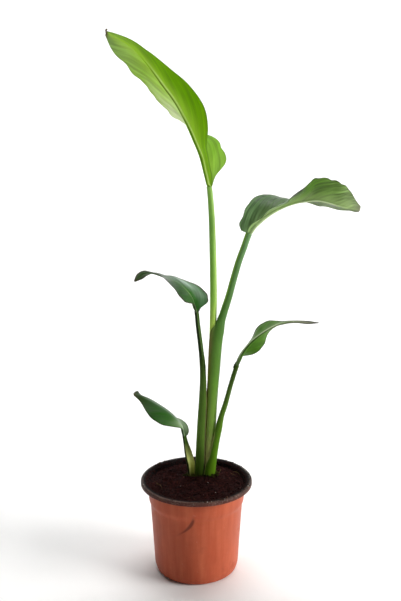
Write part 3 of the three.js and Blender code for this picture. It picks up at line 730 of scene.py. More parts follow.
def pot_piece(materials):
    outside = divided(rounded(OUTSIDE, CORNER_CURVE), LONGEST_FACE)
    inside = divided(rounded(LIP_AND_INSIDE, RIM_CORNER_CURVE), LONGEST_FACE)
    profile = outside + inside[1:]
    ring = [(r, z) for r, z in profile if r > 0]
    points = []
    for radius, z in ring:
        for side in range(POT_SIDES):
            a = 2 * math.pi * side / POT_SIDES
            dent = POT_DENT * noise.noise(Vector((math.cos(a) * 2, math.sin(a) * 2, z / 30))) * min(z / 6, 1)
            points.append(((radius + dent) * math.cos(a), (radius + dent) * math.sin(a), z))
    piece = mesh_piece("pot_shell", points, ring_faces(len(ring), POT_SIDES))
    for material in materials:
        piece.data.materials.append(material)
    outer_faces = (len(outside) - 2) * POT_SIDES
    for face in piece.data.polygons:
        face.material_index = int(outer_faces <= face.index < (len(ring) - 1) * POT_SIDES)
    piece.data.polygons[-1].material_index = 1
    drill_holes(piece)
    return piece


def drill_holes(piece):
    """Cuts the drainage holes through the pot's floor."""
    bm = bmesh.new()
    for hole in range(DRAIN_HOLES):
        angle = 2 * math.pi * (hole + 0.5) / DRAIN_HOLES
        made = bmesh.ops.create_cone(
            bm, cap_ends=True, segments=40, radius1=DRAIN_HOLE_RADIUS * MM, radius2=DRAIN_HOLE_RADIUS * MM,
            depth=8 * MM,
        )
        shift = Vector((DRAIN_RING_RADIUS * math.cos(angle), DRAIN_RING_RADIUS * math.sin(angle), 0)) * MM
        bmesh.ops.translate(bm, verts=made["verts"], vec=shift)
    mesh = bpy.data.meshes.new("drill")
    bm.to_mesh(mesh)
    bm.free()
    drill = placed("drill", mesh)
    cut = piece.modifiers.new("holes", "BOOLEAN")
    cut.object = drill
    cut.operation = "DIFFERENCE"
    cut.solver = "EXACT"
    bpy.context.view_layer.update()
    shown = piece.evaluated_get(bpy.context.evaluated_depsgraph_get())
    made = bpy.data.meshes.new_from_object(shown)
    piece.modifiers.clear()
    piece.data = made
    bpy.data.objects.remove(drill)


# Soil

SOIL_SIDES = 300
SOIL_RINGS = 84
# The soil's outside below its top, radius and height
SOIL_WALL = [(43.3, WALL + GAP), (46.1, 3.7), (47.6, 8.4), (49.7, 44), (51.95, 79.8), (54.1, 85.6), (54.7, 104)]
# The hollow round the crown: shares of its radii and of its height, from the top down
CROWN_HOLLOW = [(1.12, 1.03), (1.08, 0.8), (1.06, 0.55), (0.85, 0.15), (0.4, -0.03)]
CROWN_RADII = (17, 12)
# Height and width of the soil's lumps and of its grit
LUMPS = (0.9, 7)
GRIT = (0.35, 1.3)
# Room that the hole in the soil leaves round the stalks
STALK_ROOM = 1.0
SOIL_CRUMBS = 1500
FLARE_CRUMBS = 1700
FOOT_CRUMBS = 260
FIBRES = 260
FIBRE_STEPS = 8
# Radii of the rim's flat top between which crumbs lie, and the radius at which its pale grains lie
RIM_TOP = (60.4, 64.2)
RIM_GRAIN_RADIUS = 63.2
# Radius and height of the flare between the soil and the rim, and the radii between which peat sticks to it
FLARE = [(55.1, 104.4), (57.2, 108.4), (59.8, 109.7)]
FLARE_RADII = (55.0, 59.9)
# From angle, to angle, how many crumbs lie on the rim there, size of the largest
RIM_DIRT = [
    (-88, -48, 60, 1.1), (-58, -53, 6, 1.7), (-40, 60, 50, 0.9), (40, 47, 5, 1.7), (124, 130, 6, 2.0),
    (136, 146, 14, 2.3), (150, 250, 40, 0.7),
]
# Angle and size of the pale grains on the rim
RIM_GRAINS = [
    (-20.1, 0.7), (-17, 0.4), (15.6, 0.55), (21, 0.35), (-78.9, 0.6), (-74.5, 0.45), (-60, 0.35), (196, 0.35),
]
# Place and size of the white grains on the soil
WHITE_GRAINS = [(13.6, -4.5, 0.75), (22, -28, 0.3), (-18, -14, 0.3), (33, 8, 0.3), (-30, 10, 0.25), (8, -36, 0.25)]
# Start, end, bow, rise and thickness of the pale fibres on the soil
PALE_FIBRES = [
    ((-49.8, 1.5), (-39.2, -22.6), 0.08, 1.0, 0.22), ((-46, -1), (-42, -12), -0.12, 0.6, 0.18),
    ((29, 34), (26.4, 18.3), 0.08, 2.0, 0.28), ((43, 27), (52, 18.3), 0.1, 1.6, 0.28),
    ((40, 24), (47, 17), -0.1, 1.0, 0.2), ((-12, -40), (-1, -46), 0.1, 0.8, 0.16),
]


def around(radius, angle, middle=(0, 0)):
    return middle[0] + radius * math.cos(angle), middle[1] + radius * math.sin(angle)


def soil_share(x, y):
    """How far out on the soil a spot lies, 1 at the soil's edge."""
    return math.hypot(x, y) / SOIL_EDGE_RADIUS


def soil_height(x, y):
    near = math.exp(-((x - CLUMP[0]) ** 2 + (y - CLUMP[1]) ** 2) / 900)
    bumps = math.sin(0.21 * x + 0.6) * math.cos(0.17 * y) + 0.7 * math.sin(0.33 * y - 0.24 * x + 1.9)
    fade = 1 - soil_share(x, y) ** 4
    return SOIL_EDGE_HEIGHT + fade * (SOIL_MOUND * near + SOIL_BUMP * bumps)


def soil_roughness(x, y):
    """Lumps and grit on the soil's top."""
    lumps = noise.fractal(Vector((x / LUMPS[1], y / LUMPS[1], 0.3)), 0.9, 2.1, 4)
    grit = noise.noise(Vector((x / GRIT[1], y / GRIT[1], 4.7)))
    return LUMPS[0] * lumps + GRIT[0] * grit


def soil_top(x, y):
    return soil_height(x, y) + soil_roughness(x, y)


def clump_edge(angle):
    """Distance from the clump's middle to the edge of the hole that the stalks stand in."""
    reach = 0.0
    for leaf in LEAVES:
        for x, y, _, wide, deep in leaf["stalk"][:2]:
            wide, deep = wide + STALK_ROOM, deep + STALK_ROOM
            cx, cy = (x - CLUMP[0]) / wide, (y - CLUMP[1]) / deep
            dx, dy = math.cos(angle) / wide, math.sin(angle) / deep
            a, b, c = dx * dx + dy * dy, -(dx * cx + dy * cy), cx * cx + cy * cy - 1
            inside = b * b - a * c
            if inside > 0:
                reach = max(reach, (-b + math.sqrt(inside)) / a)
    return reach


def soil_piece():
    angles = [2 * math.pi * side / SOIL_SIDES for side in range(SOIL_SIDES)]
    rings = [[(*around(radius, a), z) for a in angles] for radius, z in SOIL_WALL]
    inner = [around(clump_edge(a), a, CLUMP) for a in angles]
    for ring in range(SOIL_RINGS + 1):
        f = 1 - ring / SOIL_RINGS
        calm = min(1, (1 - f) * 12 + 0.25) * min(1, f * 10 + 0.3)
        row = []
        for a, (ix, iy) in zip(angles, inner):
            ox, oy = around(SOIL_EDGE_RADIUS, a)
            x, y = ix + (ox - ix) * f, iy + (oy - iy) * f
            row.append((x, y, soil_height(x, y) + soil_roughness(x, y) * calm))
        rings.append(row)
    for z in (100, 85, STALK_FOOT + 1):
        rings.append([(x, y, z) for x, y in inner])
    floor = STALK_FOOT - GAP - CROWN_HEIGHT
    wide, deep = CROWN_RADII
    for share, height in CROWN_HOLLOW:
        rings.append([
            (
                CLUMP[0] + share * wide * math.cos(a), CLUMP[1] + share * deep * math.sin(a),
                floor + height * CROWN_HEIGHT,
            )
            for a in angles
        ])
    points = [spot for ring in rings for spot in ring]
    return mesh_piece("soil_top", points, ring_faces(len(rings), SOIL_SIDES))


# Crumbs, grains and fibres


def crumb(draw, middle, size, flat):
    """Points and faces of one small angular lump."""
    bm = bmesh.new()
    bmesh.ops.create_icosphere(bm, subdivisions=1, radius=1)
    shift = Vector((draw.uniform(0, 90), draw.uniform(0, 90), draw.uniform(0, 90)))
    stretch = Vector((draw.uniform(0.7, 1.3), draw.uniform(0.7, 1.3), flat * draw.uniform(0.7, 1.2)))
    turn = draw.uniform(0, math.tau)
    cos, sin = math.cos(turn), math.sin(turn)
    points = []
    for vert in bm.verts:
        spot = vert.co * (1 + 0.4 * noise.noise(vert.co * 1.3 + shift))
        spot = Vector((spot.x * stretch.x, spot.y * stretch.y, spot.z * stretch.z)) * size
        spot = Vector((spot.x * cos - spot.y * sin, spot.x * sin + spot.y * cos, spot.z))
        points.append(tuple(spot + Vector(middle)))
    faces = [tuple(v.index for v in face.verts) for face in bm.faces]
    bm.free()
    return points, faces


def fused(name, parts):
    points, faces = [], []
    for some_points, some_faces in parts:
        shift = len(points)
        points += some_points
        faces += [tuple(v + shift for v in face) for face in some_faces]
    return mesh_piece(name, points, faces)


def crumbs_piece(name, seed, spots, flat=0.75):
    """Lumps in one mesh. The spots function draws the place and size of each just before the lump draws its form."""
    draw = random.Random(seed)
    return fused(name, [crumb(draw, (x, y, z), size, flat) for x, y, z, size in spots(draw)])


def on_soil(draw):
    """A random spot on the soil's top, off the clump."""
    while True:
        radius = SOIL_EDGE_RADIUS * math.sqrt(draw.uniform(0, 0.97))
        x, y = around(radius, draw.uniform(0, math.tau))
        from_clump = math.hypot(x - CLUMP[0], y - CLUMP[1])
        if from_clump > clump_edge(math.atan2(y - CLUMP[1], x - CLUMP[0])) + 0.6:
            return x, y, soil_top(x, y)


def soil_crumbs(draw):
    for _ in range(SOIL_CRUMBS):
        x, y, z = on_soil(draw)
        size = 0.35 + 1.1 * draw.random() ** 3
        yield x, y, z + 0.15 * size, size


def rim_dirt(draw):
    """Soil crumbs left on the pot's rim."""
    for first, last, count, largest in RIM_DIRT:
        for _ in range(count):
            angle, radius = math.radians(draw.uniform(first, last)), draw.uniform(*RIM_TOP)
            size = 0.3 + (largest - 0.3) * draw.random() ** 2
            yield *around(radius, angle), POT_HEIGHT + 0.35 * size, size


def flare_peat(draw):
    """Peat that sticks to the pot's inside between the soil and the lip."""
    for _ in range(FLARE_CRUMBS):
        angle, radius = draw.uniform(0, math.tau), draw.uniform(*FLARE_RADII)
        z = float(np.interp(radius, *zip(*FLARE)))
        size = 0.5 + 0.8 * draw.random() ** 2
        yield *around(radius, angle), z, size


def rim_grains(draw):
    for angle, size in RIM_GRAINS:
        yield *around(RIM_GRAIN_RADIUS, math.radians(angle)), POT_HEIGHT + 0.3, size


def white_grains(draw):
    for x, y, size in WHITE_GRAINS:
        yield x, y, soil_top(x, y) + 0.6 * size, size


def foot_moss(draw):
    """Peat and moss crumbs heaped against the stalks."""
    for _ in range(FOOT_CRUMBS):
        angle = draw.uniform(0, math.tau)
        x, y = around(clump_edge(angle) - 0.8 + 4.2 * draw.random() ** 2, angle, CLUMP)
        size = 0.4 + 0.9 * draw.random() ** 2
        yield x, y, soil_height(x, y) + draw.uniform(0, 1.6), size


def thread(path, thick, sides=4):
    """A thin tube along a path, finer towards its ends."""
    points = []
    for step, spot in enumerate(path):
        ahead = path[min(step + 1, len(path) - 1)] - path[max(step - 1, 0)]
        side = ahead.cross(Vector((0, 0, 1))).normalized()
        up = side.cross(ahead).normalized()
        size = thick * (0.35 + 0.65 * math.sin(math.pi * (step + 0.6) / (len(path) + 0.2)))
        for k in range(sides):
            a = math.tau * k / sides
            points.append(tuple(spot + side * size * math.cos(a) + up * size * math.sin(a)))
    return points, ring_faces(len(path), sides)


def above_soil(x, y, rise, t):
    """A fibre's point t of the way along it. The fibre arches up by the rise."""
    return Vector((x, y, soil_top(x, y) + 0.3 + rise * 4 * t * (1 - t)))


def soil_fibres_piece():
    """Thin curved peat fibres that lie on the soil."""
    draw = random.Random(23)
    parts = []
    for _ in range(FIBRES):
        x, y, _ = on_soil(draw)
        turn = draw.uniform(0, math.tau)
        reach, bend = draw.uniform(3, 11), draw.uniform(-0.14, 0.14)
        rise, thick = draw.uniform(0, 0.9), draw.uniform(0.12, 0.3)
        path = []
        for step in range(FIBRE_STEPS + 1):
            if soil_share(x, y) > 0.97:
                break
            path.append(above_soil(x, y, rise, step / FIBRE_STEPS))
            turn += bend
            x, y = around(reach / FIBRE_STEPS, turn, (x, y))
        if len(path) > 3:
            parts.append(thread(path, thick))
    return fused("soil_fibres", parts)


def lying_thread(start, end, bow, rise, thick):
    """A fibre from one spot on the soil to another, bowed to one side."""
    path = []
    across, away = end[0] - start[0], end[1] - start[1]
    for step in range(FIBRE_STEPS + 1):
        t = step / FIBRE_STEPS
        arch = bow * 4 * t * (1 - t)
        path.append(above_soil(start[0] + across * t - away * arch, start[1] + away * t + across * arch, rise, t))
    return thread(path, thick)


def pale_fibres_piece():
    return fused("pale_fibres", [lying_thread(*row) for row in PALE_FIBRES])


# Materials

BLACK, WHITE = (0, 0, 0), (255, 255, 255)


def rgb(*colour):
    """A colour given in 0 to 255 as seen on a screen."""
    shares = (value / 255 for value in colour)
    return (*(v / 12.92 if v <= 0.04045 else ((v + 0.055) / 1.055) ** 2.4 for v in shares), 1.0)


def even(colours):
    """Colour stops spread evenly from the leaf's base to its tip."""
    last = max(len(colours) - 1, 1)
    return [(place / last, colour) for place, colour in enumerate(colours)]


class Recipe:
    """Adds nodes to a material or group. An input is a plain value or another node's output."""

    def __init__(self, tree):
        self.tree = tree

    def add(self, kind, inputs=(), **settings):
        made = self.tree.nodes.new("ShaderNode" + kind)
        for name, value in settings.items():
            setattr(made, name, value)
        for name, value in dict(inputs).items():
            self.put(made.inputs[name], value)
        return made

    def put(self, socket, value):
        if isinstance(value, bpy.types.NodeSocket):
            self.tree.links.new(value, socket)
        else:
            socket.default_value = value

    def math(self, operation, *values, clamp=False):
        made = self.add("Math", operation=operation, use_clamp=clamp)
        for socket, value in zip(made.inputs, values):
            self.put(socket, value)
        return made.outputs[0]

    def plus(self, first, second):
        return self.math("ADD", first, second)

    def less(self, first, second):
        return self.math("SUBTRACT", first, second)

    def times(self, first, second, clamp=False):
        return self.math("MULTIPLY", first, second, clamp=clamp)

    def scaled(self, value, factor, shift, clamp=False):
        """The value times the factor plus the shift."""
        return self.math("MULTIPLY_ADD", value, factor, shift, clamp=clamp)

    def between(self, factor, first, second):
        """A number between two plain numbers."""
        return self.scaled(factor, second - first, first)

    def mix(self, factor, first, second, blend="MIX"):
        """A colour between two. A plain one is given in 0 to 255."""
        made = self.add("Mix", data_type="RGBA", blend_type=blend)
        sockets = {socket.identifier: socket for socket in (*made.inputs, *made.outputs)}
        for name, value in (("Factor_Float", factor), ("A_Color", first), ("B_Color", second)):
            self.put(sockets[name], rgb(*value) if isinstance(value, tuple) else value)
        return sockets["Result_Color"]

    def ramp(self, value, stops):
        made = self.add("ValToRGB")
        elements = made.color_ramp.elements
        while len(elements) < len(stops):
            elements.new(0.5)
        for element, (place, colour) in zip(elements, stops):
            element.position = place
            element.color = rgb(*colour)
        self.put(made.inputs[0], value)
        return made.outputs[0]

    def noise(self, vector, scale, detail=3.0, rough=0.55):
        inputs = {"Vector": vector, "Scale": scale, "Detail": detail, "Roughness": rough}
        return self.add("TexNoise", inputs).outputs["Fac"]

    def split(self, vector):
        return self.add("SeparateXYZ", {"Vector": vector}).outputs

    def effect(self, tree, **inputs):
        """The result of one of the shared effects."""
        made = self.tree.nodes.new("ShaderNodeGroup")
        made.node_tree = tree
        for name, value in inputs.items():
            self.put(made.inputs[name], value)
        return made.outputs[0]


class Finish(Recipe):
    """The recipe of a material for one of the plant's or pot's surfaces."""

    def __init__(self, name):
        self.material = bpy.data.materials.new(name)
        self.material.use_nodes = True
        super().__init__(self.material.node_tree)
        self.place = self.add("TexCoord").outputs["Object"]

    def value(self, name):
        return self.add("Attribute", attribute_name=name).outputs["Fac"]

    def values(self, name):
        """The three values that a piece keeps for its points under one name."""
        return self.split(self.add("Attribute", attribute_name=name).outputs["Vector"])

    def grain(self, scale, detail=3.0, rough=0.55):
        return self.noise(self.place, scale, detail, rough)

    def specks(self, low, high, *grain):
        """Black where the grain is under the low level, white where it is over the high one."""
        return self.ramp(self.grain(*grain), [(low, BLACK), (high, WHITE)])

    def lines(self, across, spacing, waver):
        return self.effect(VEIN_LINES, Across=across, Spacing=spacing, Waver=waver, Vector=self.place)

    def blotches(self, size, strength):
        return self.effect(BLOTCHES, Vector=self.place, Size=size, Strength=strength)

    def band(self, distance, width):
        return self.effect(BAND, Distance=distance, Width=width)

    def shaded(self, colour, shade):
        """The colour made lighter or darker by a shade around 1."""
        grey = self.add("CombineXYZ", {"X": shade, "Y": shade, "Z": shade}).outputs[0]
        return self.mix(1.0, colour, grey, "MULTIPLY")

    def done(self, colour, rough, gloss=0.5, relief=None, strength=1.0, depth=0.001):
        """Puts the results on the surface. Gloss is its specular level, and the relief a bump, its depth in metres."""
        surface = self.tree.nodes["Principled BSDF"].inputs
        self.put(surface["Base Color"], colour)
        self.put(surface["Roughness"], rough)
        surface["Specular IOR Level"].default_value = gloss
        if relief is not None:
            bump = self.add("Bump", {"Height": relief, "Strength": strength, "Distance": depth})
            self.put(surface["Normal"], bump.outputs["Normal"])
        return self.material


def shared_effect(name, result, build, **inputs):
    """A node group with one result, built by a function of a recipe and the inputs. None stands for a vector."""
    tree = bpy.data.node_groups.new(name, "ShaderNodeTree")
    for title, value in inputs.items():
        kind = "NodeSocketVector" if value is None else "NodeSocketFloat"
        socket = tree.interface.new_socket(title, in_out="INPUT", socket_type=kind)
        if value is not None:
            socket.default_value = value
    tree.interface.new_socket(result, in_out="OUTPUT", socket_type="NodeSocketFloat")
    recipe = Recipe(tree)
    given = tree.nodes.new("NodeGroupInput").outputs
    made = build(recipe, *(given[title] for title in inputs))
    recipe.put(tree.nodes.new("NodeGroupOutput").inputs[result], made)
    return tree


def vein_lines(recipe, across, spacing, waver, vector):
    """Fine lines that repeat every so many mm of across, a little uneven in place."""
    drift = recipe.times(recipe.noise(vector, 60.0), waver)
    turns = recipe.math("DIVIDE", recipe.plus(across, drift), spacing)
    wave = recipe.math("SINE", recipe.times(turns, math.tau))
    return recipe.math("POWER", recipe.scaled(wave, 0.5, 0.5), 2.0)


def vein_streaks(recipe, across, out, size):
    """Broad uneven streaks that run with the veins, around 0."""
    spot = recipe.add("CombineXYZ", {"X": recipe.math("DIVIDE", across, size), "Y": out}).outputs[0]
    return recipe.less(recipe.noise(spot, 1.0, 3.0, 0.5), 0.5)


def blotches(recipe, vector, size, strength):
    """Uneven shade, broad and fine, around 1."""
    broad = recipe.noise(vector, size, 2.0)
    fine = recipe.noise(vector, recipe.times(size, 7.0), 4.0)
    both = recipe.scaled(recipe.less(fine, 0.5), 0.5, recipe.less(broad, 0.5))
    return recipe.scaled(both, strength, 1.0)


def band(recipe, distance, width):
    """A soft band that is 1 where the distance is 0 and fades out over the width."""
    ratio = recipe.math("DIVIDE", distance, width)
    return recipe.math("EXPONENT", recipe.times(recipe.times(ratio, ratio), -1.0))


VEIN_LINES = shared_effect("vein lines", "Line", vein_lines, Across=0.0, Spacing=1.2, Waver=0.2, Vector=None)
VEIN_STREAKS = shared_effect("vein streaks", "Streak", vein_streaks, Across=0.0, Out=0.0, Size=9.0)
BLOTCHES = shared_effect("blotches", "Shade", blotches, Vector=None, Size=30.0, Strength=0.2)
BAND = shared_effect("band", "Mask", band, Distance=0.0, Width=1.0)


def blade_material(name, look):
    finish = Finish(name)
    along, out, upper = finish.values("leaf_place")
    vein, rib, margin = finish.values("leaf_lines")
    half = finish.value("leaf_half")
    side = finish.scaled(half, 4.0, -1.5, clamp=True)
    low, high = (
        finish.mix(side, *(finish.ramp(along, even(colours)) for colours in look[face])) for face in ("under", "upper")
    )
    colour = finish.mix(upper, low, high)

    # veins, streaks and blotches; the streaks are partly the leaf's own tone along its veins and partly painted light
    # and shade on its pleats
    fine, broad = finish.lines(vein, 1.15, 0.6), finish.lines(vein, VEIN_SPACING, 1.0)
    wide = finish.scaled(finish.plus(rib, margin), 0.1, -0.5, clamp=True)
    lines = finish.scaled(finish.less(fine, 0.4), 0.6, finish.less(broad, 0.4))
    shade = finish.scaled(lines, finish.times(wide, look["veins"]), finish.blotches(28.0, look["mottle"]))
    strength, size, slant = look["streaks"]
    streak = finish.effect(VEIN_STREAKS, Across=finish.scaled(rib, -slant, vein), Out=out, Size=size)
    shade = finish.scaled(streak, finish.times(wide, strength), shade)
    colour = finish.shaded(colour, shade)

    # the part next to the midrib, and the patch of painted highlight (painted shade on leaf 2)
    tint, width, near, far = look["inner"]
    inner = finish.times(finish.band(out, width), finish.between(side, near, far))
    colour = finish.mix(inner, colour, tint)
    tint, at, width, middle, reach, face, near, far = look["painted_patch"]
    painted_patch = finish.times(finish.band(finish.less(out, at), width), finish.between(side, near, far))
    painted_patch = finish.times(painted_patch, finish.scaled(streak, 2.0, 1.0))
    window = finish.band(finish.less(along, middle), reach)
    shown = upper if face == "upper" else finish.less(1.0, upper)
    painted_patch = finish.times(painted_patch, finish.times(window, shown), clamp=True)
    colour = finish.mix(painted_patch, colour, tint)

    # the lines along the midrib: painted shade and painted highlight on the keel or in the groove, and leaf 2's pale
    # midrib
    sided = finish.times(rib, finish.math("SIGN", finish.less(half, 0.5)))
    first, last = look["rib_span"]
    start = finish.scaled(along, 12.0, -12.0 * first, clamp=True)
    stop = finish.scaled(along, -6.0, 6.0 * last + 0.5, clamp=True)
    seen = finish.times(start, stop)
    onward = finish.scaled(along, 4.0, -0.6, clamp=True)
    for tint, at, width, strength in (look["rib"], look["rib_side_shading"]):
        line = finish.band(finish.less(sided, finish.between(onward, *at)), finish.between(onward, *width))
        colour = finish.mix(finish.times(line, finish.times(seen, strength)), colour, tint)

    # margin and tip
    tint, width, strength = look["edge"]
    colour = finish.mix(finish.times(finish.band(margin, width), strength), colour, tint)
    tint, width = look["tip"]
    colour = finish.mix(finish.band(finish.less(1.0, along), width), colour, tint)
    rough = finish.times(finish.between(upper, *look["rough"]), shade)
    relief = finish.scaled(finish.grain(700.0, 2.0), 0.35, finish.times(fine, 0.5))
    return finish.done(colour, rough, look["gloss"], relief, 0.25, 0.0003)


def stalk_material(name, look):
    finish = Finish(name)
    along, rim, inner = finish.values("stalk_place")
    colour = finish.mix(inner, *(finish.ramp(along, even(look[face])) for face in ("outside", "inside")))
    threads = finish.lines(finish.times(finish.value("stalk_turn"), 24.0), 1.0, 0.7)
    shade = finish.scaled(finish.less(threads, 0.4), 0.12, finish.blotches(40.0, 0.35))
    colour = finish.shaded(colour, shade)
    tint, width, strength, sheath_end = look["edge"]
    sheath = finish.scaled(along, -12.0, 12.0 * sheath_end, clamp=True)
    edge = finish.times(finish.band(rim, width), finish.between(sheath, 0.05, 1.0))
    colour = finish.mix(finish.times(edge, strength), colour, tint)
    foot = finish.times(finish.band(along, 0.02), 0.6)
    colour = finish.mix(foot, colour, (70, 60, 30))
    return finish.done(colour, finish.times(shade, 0.42), look["gloss"], threads, 0.3, 0.0002)


def pot_outside_material():
    finish = Finish("terracotta plastic")
    drawn_out = finish.add("Mapping", {"Vector": finish.place, "Scale": (1.0, 1.0, 0.08)}).outputs[0]
    streaks = finish.noise(drawn_out, 150.0, 5.0)
    shade = finish.scaled(finish.less(streaks, 0.5), 0.22, finish.blotches(22.0, 0.35))
    colour = finish.mix(finish.scaled(streaks, 1.6, -0.4, clamp=True), (176, 80, 52), (188, 98, 68))
    colour = finish.shaded(colour, shade)
    smudge = finish.specks(0.6, 0.78, 34.0, 5.0, 0.65)
    colour = finish.mix(finish.times(smudge, 0.35), colour, (96, 56, 44))
    dust = finish.specks(0.68, 0.78, 240.0)
    colour = finish.mix(finish.times(dust, 0.15), colour, (226, 178, 158))

    # the dark curved scratch on the front
    x, y, z = finish.split(finish.place)
    down = finish.less(SCRATCH_TOP * MM, z)
    bend = finish.scaled(finish.times(down, down), SCRATCH_BEND, finish.times(down, SCRATCH_LEAN))
    line = finish.band(finish.plus(finish.less(x, SCRATCH_SIDE * MM), bend), SCRATCH_WIDTH * MM)
    reach = finish.band(finish.less(down, SCRATCH_DROP * MM / 2), SCRATCH_DROP * MM * 0.56)
    front = finish.math("LESS_THAN", y, 0.0)
    scratch = finish.times(finish.times(line, reach), finish.times(front, 1.6))
    colour = finish.mix(finish.math("MINIMUM", scratch, 0.72), colour, (88, 42, 32))

    rough = finish.times(finish.scaled(smudge, 0.25, 0.42), shade)
    relief = finish.plus(finish.grain(700.0, 2.0), streaks)
    return finish.done(colour, rough, 0.13, relief, 0.25, 0.0003)


def pot_inside_material():
    """Black plastic inside, painted near black below the rim as shade, browner and dustier on the turned-down rim."""
    finish = Finish("black plastic")
    x, y, z = finish.split(finish.place)
    radius = finish.math("SQRT", finish.scaled(x, x, finish.times(y, y)))
    lip = finish.scaled(radius, 1 / (LIP_FADE * MM), -LIP_START / LIP_FADE, clamp=True)
    front = finish.scaled(y, -1 / (50 * MM), 0.0, clamp=True)
    # Below the rim the plastic is near black, darker than the plastic itself, as painted shade of the pot's deep
    # inside.
    colour = finish.mix(lip, (8, 4, 4), finish.mix(front, (56, 52, 50), (78, 52, 44)))
    skirt = finish.scaled(z, -1 / (SKIRT_FADE * MM), SKIRT_TOP / SKIRT_FADE, clamp=True)
    outermost = finish.math("GREATER_THAN", radius, (RIM_RADIUS - 0.4) * MM)
    colour = finish.mix(finish.times(skirt, outermost), colour, (84, 46, 38))
    colour = finish.shaded(colour, finish.blotches(35.0, 0.6))
    dust = finish.specks(0.52, 0.68, 180.0, 4.0, 0.6)
    colour = finish.mix(finish.times(dust, finish.times(lip, 0.5)), colour, (122, 94, 82))
    grit = finish.specks(0.6, 0.7, 1100.0, 2.0)
    colour = finish.mix(finish.times(grit, finish.times(lip, 0.6)), colour, (160, 152, 146))
    rough = finish.scaled(dust, 0.2, finish.scaled(lip, -0.35, 0.85))
    return finish.done(colour, rough, 0.12, finish.grain(600.0), 0.3, 0.0003)


def grainy_material(name, dark, light, scale, rough=0.9):
    """Peat, grit, moss and dried skin: a dull surface of two colours in fine grains."""
    finish = Finish(name)
    colour = finish.ramp(finish.grain(scale, 5.0, 0.7), [(0.35, dark), (0.7, light)])
    shade = finish.blotches(60.0, 0.7)
    relief = finish.grain(scale * 2.5, 5.0, 0.7)
    return finish.done(finish.shaded(colour, shade), finish.times(shade, rough), 0.05, relief, 0.8, 0.0012)


def crown_material():
    finish = Finish("root stock")
    height = finish.split(finish.place)[2]
    rings = finish.lines(finish.times(height, 1 / MM), 2.4, 1.2)
    shade = finish.scaled(rings, -0.25, finish.blotches(60.0, 0.5))
    colour = finish.shaded((196, 184, 138), shade)
    return finish.done(colour, finish.times(shade, 0.7), relief=rings, strength=0.5, depth=0.0006)
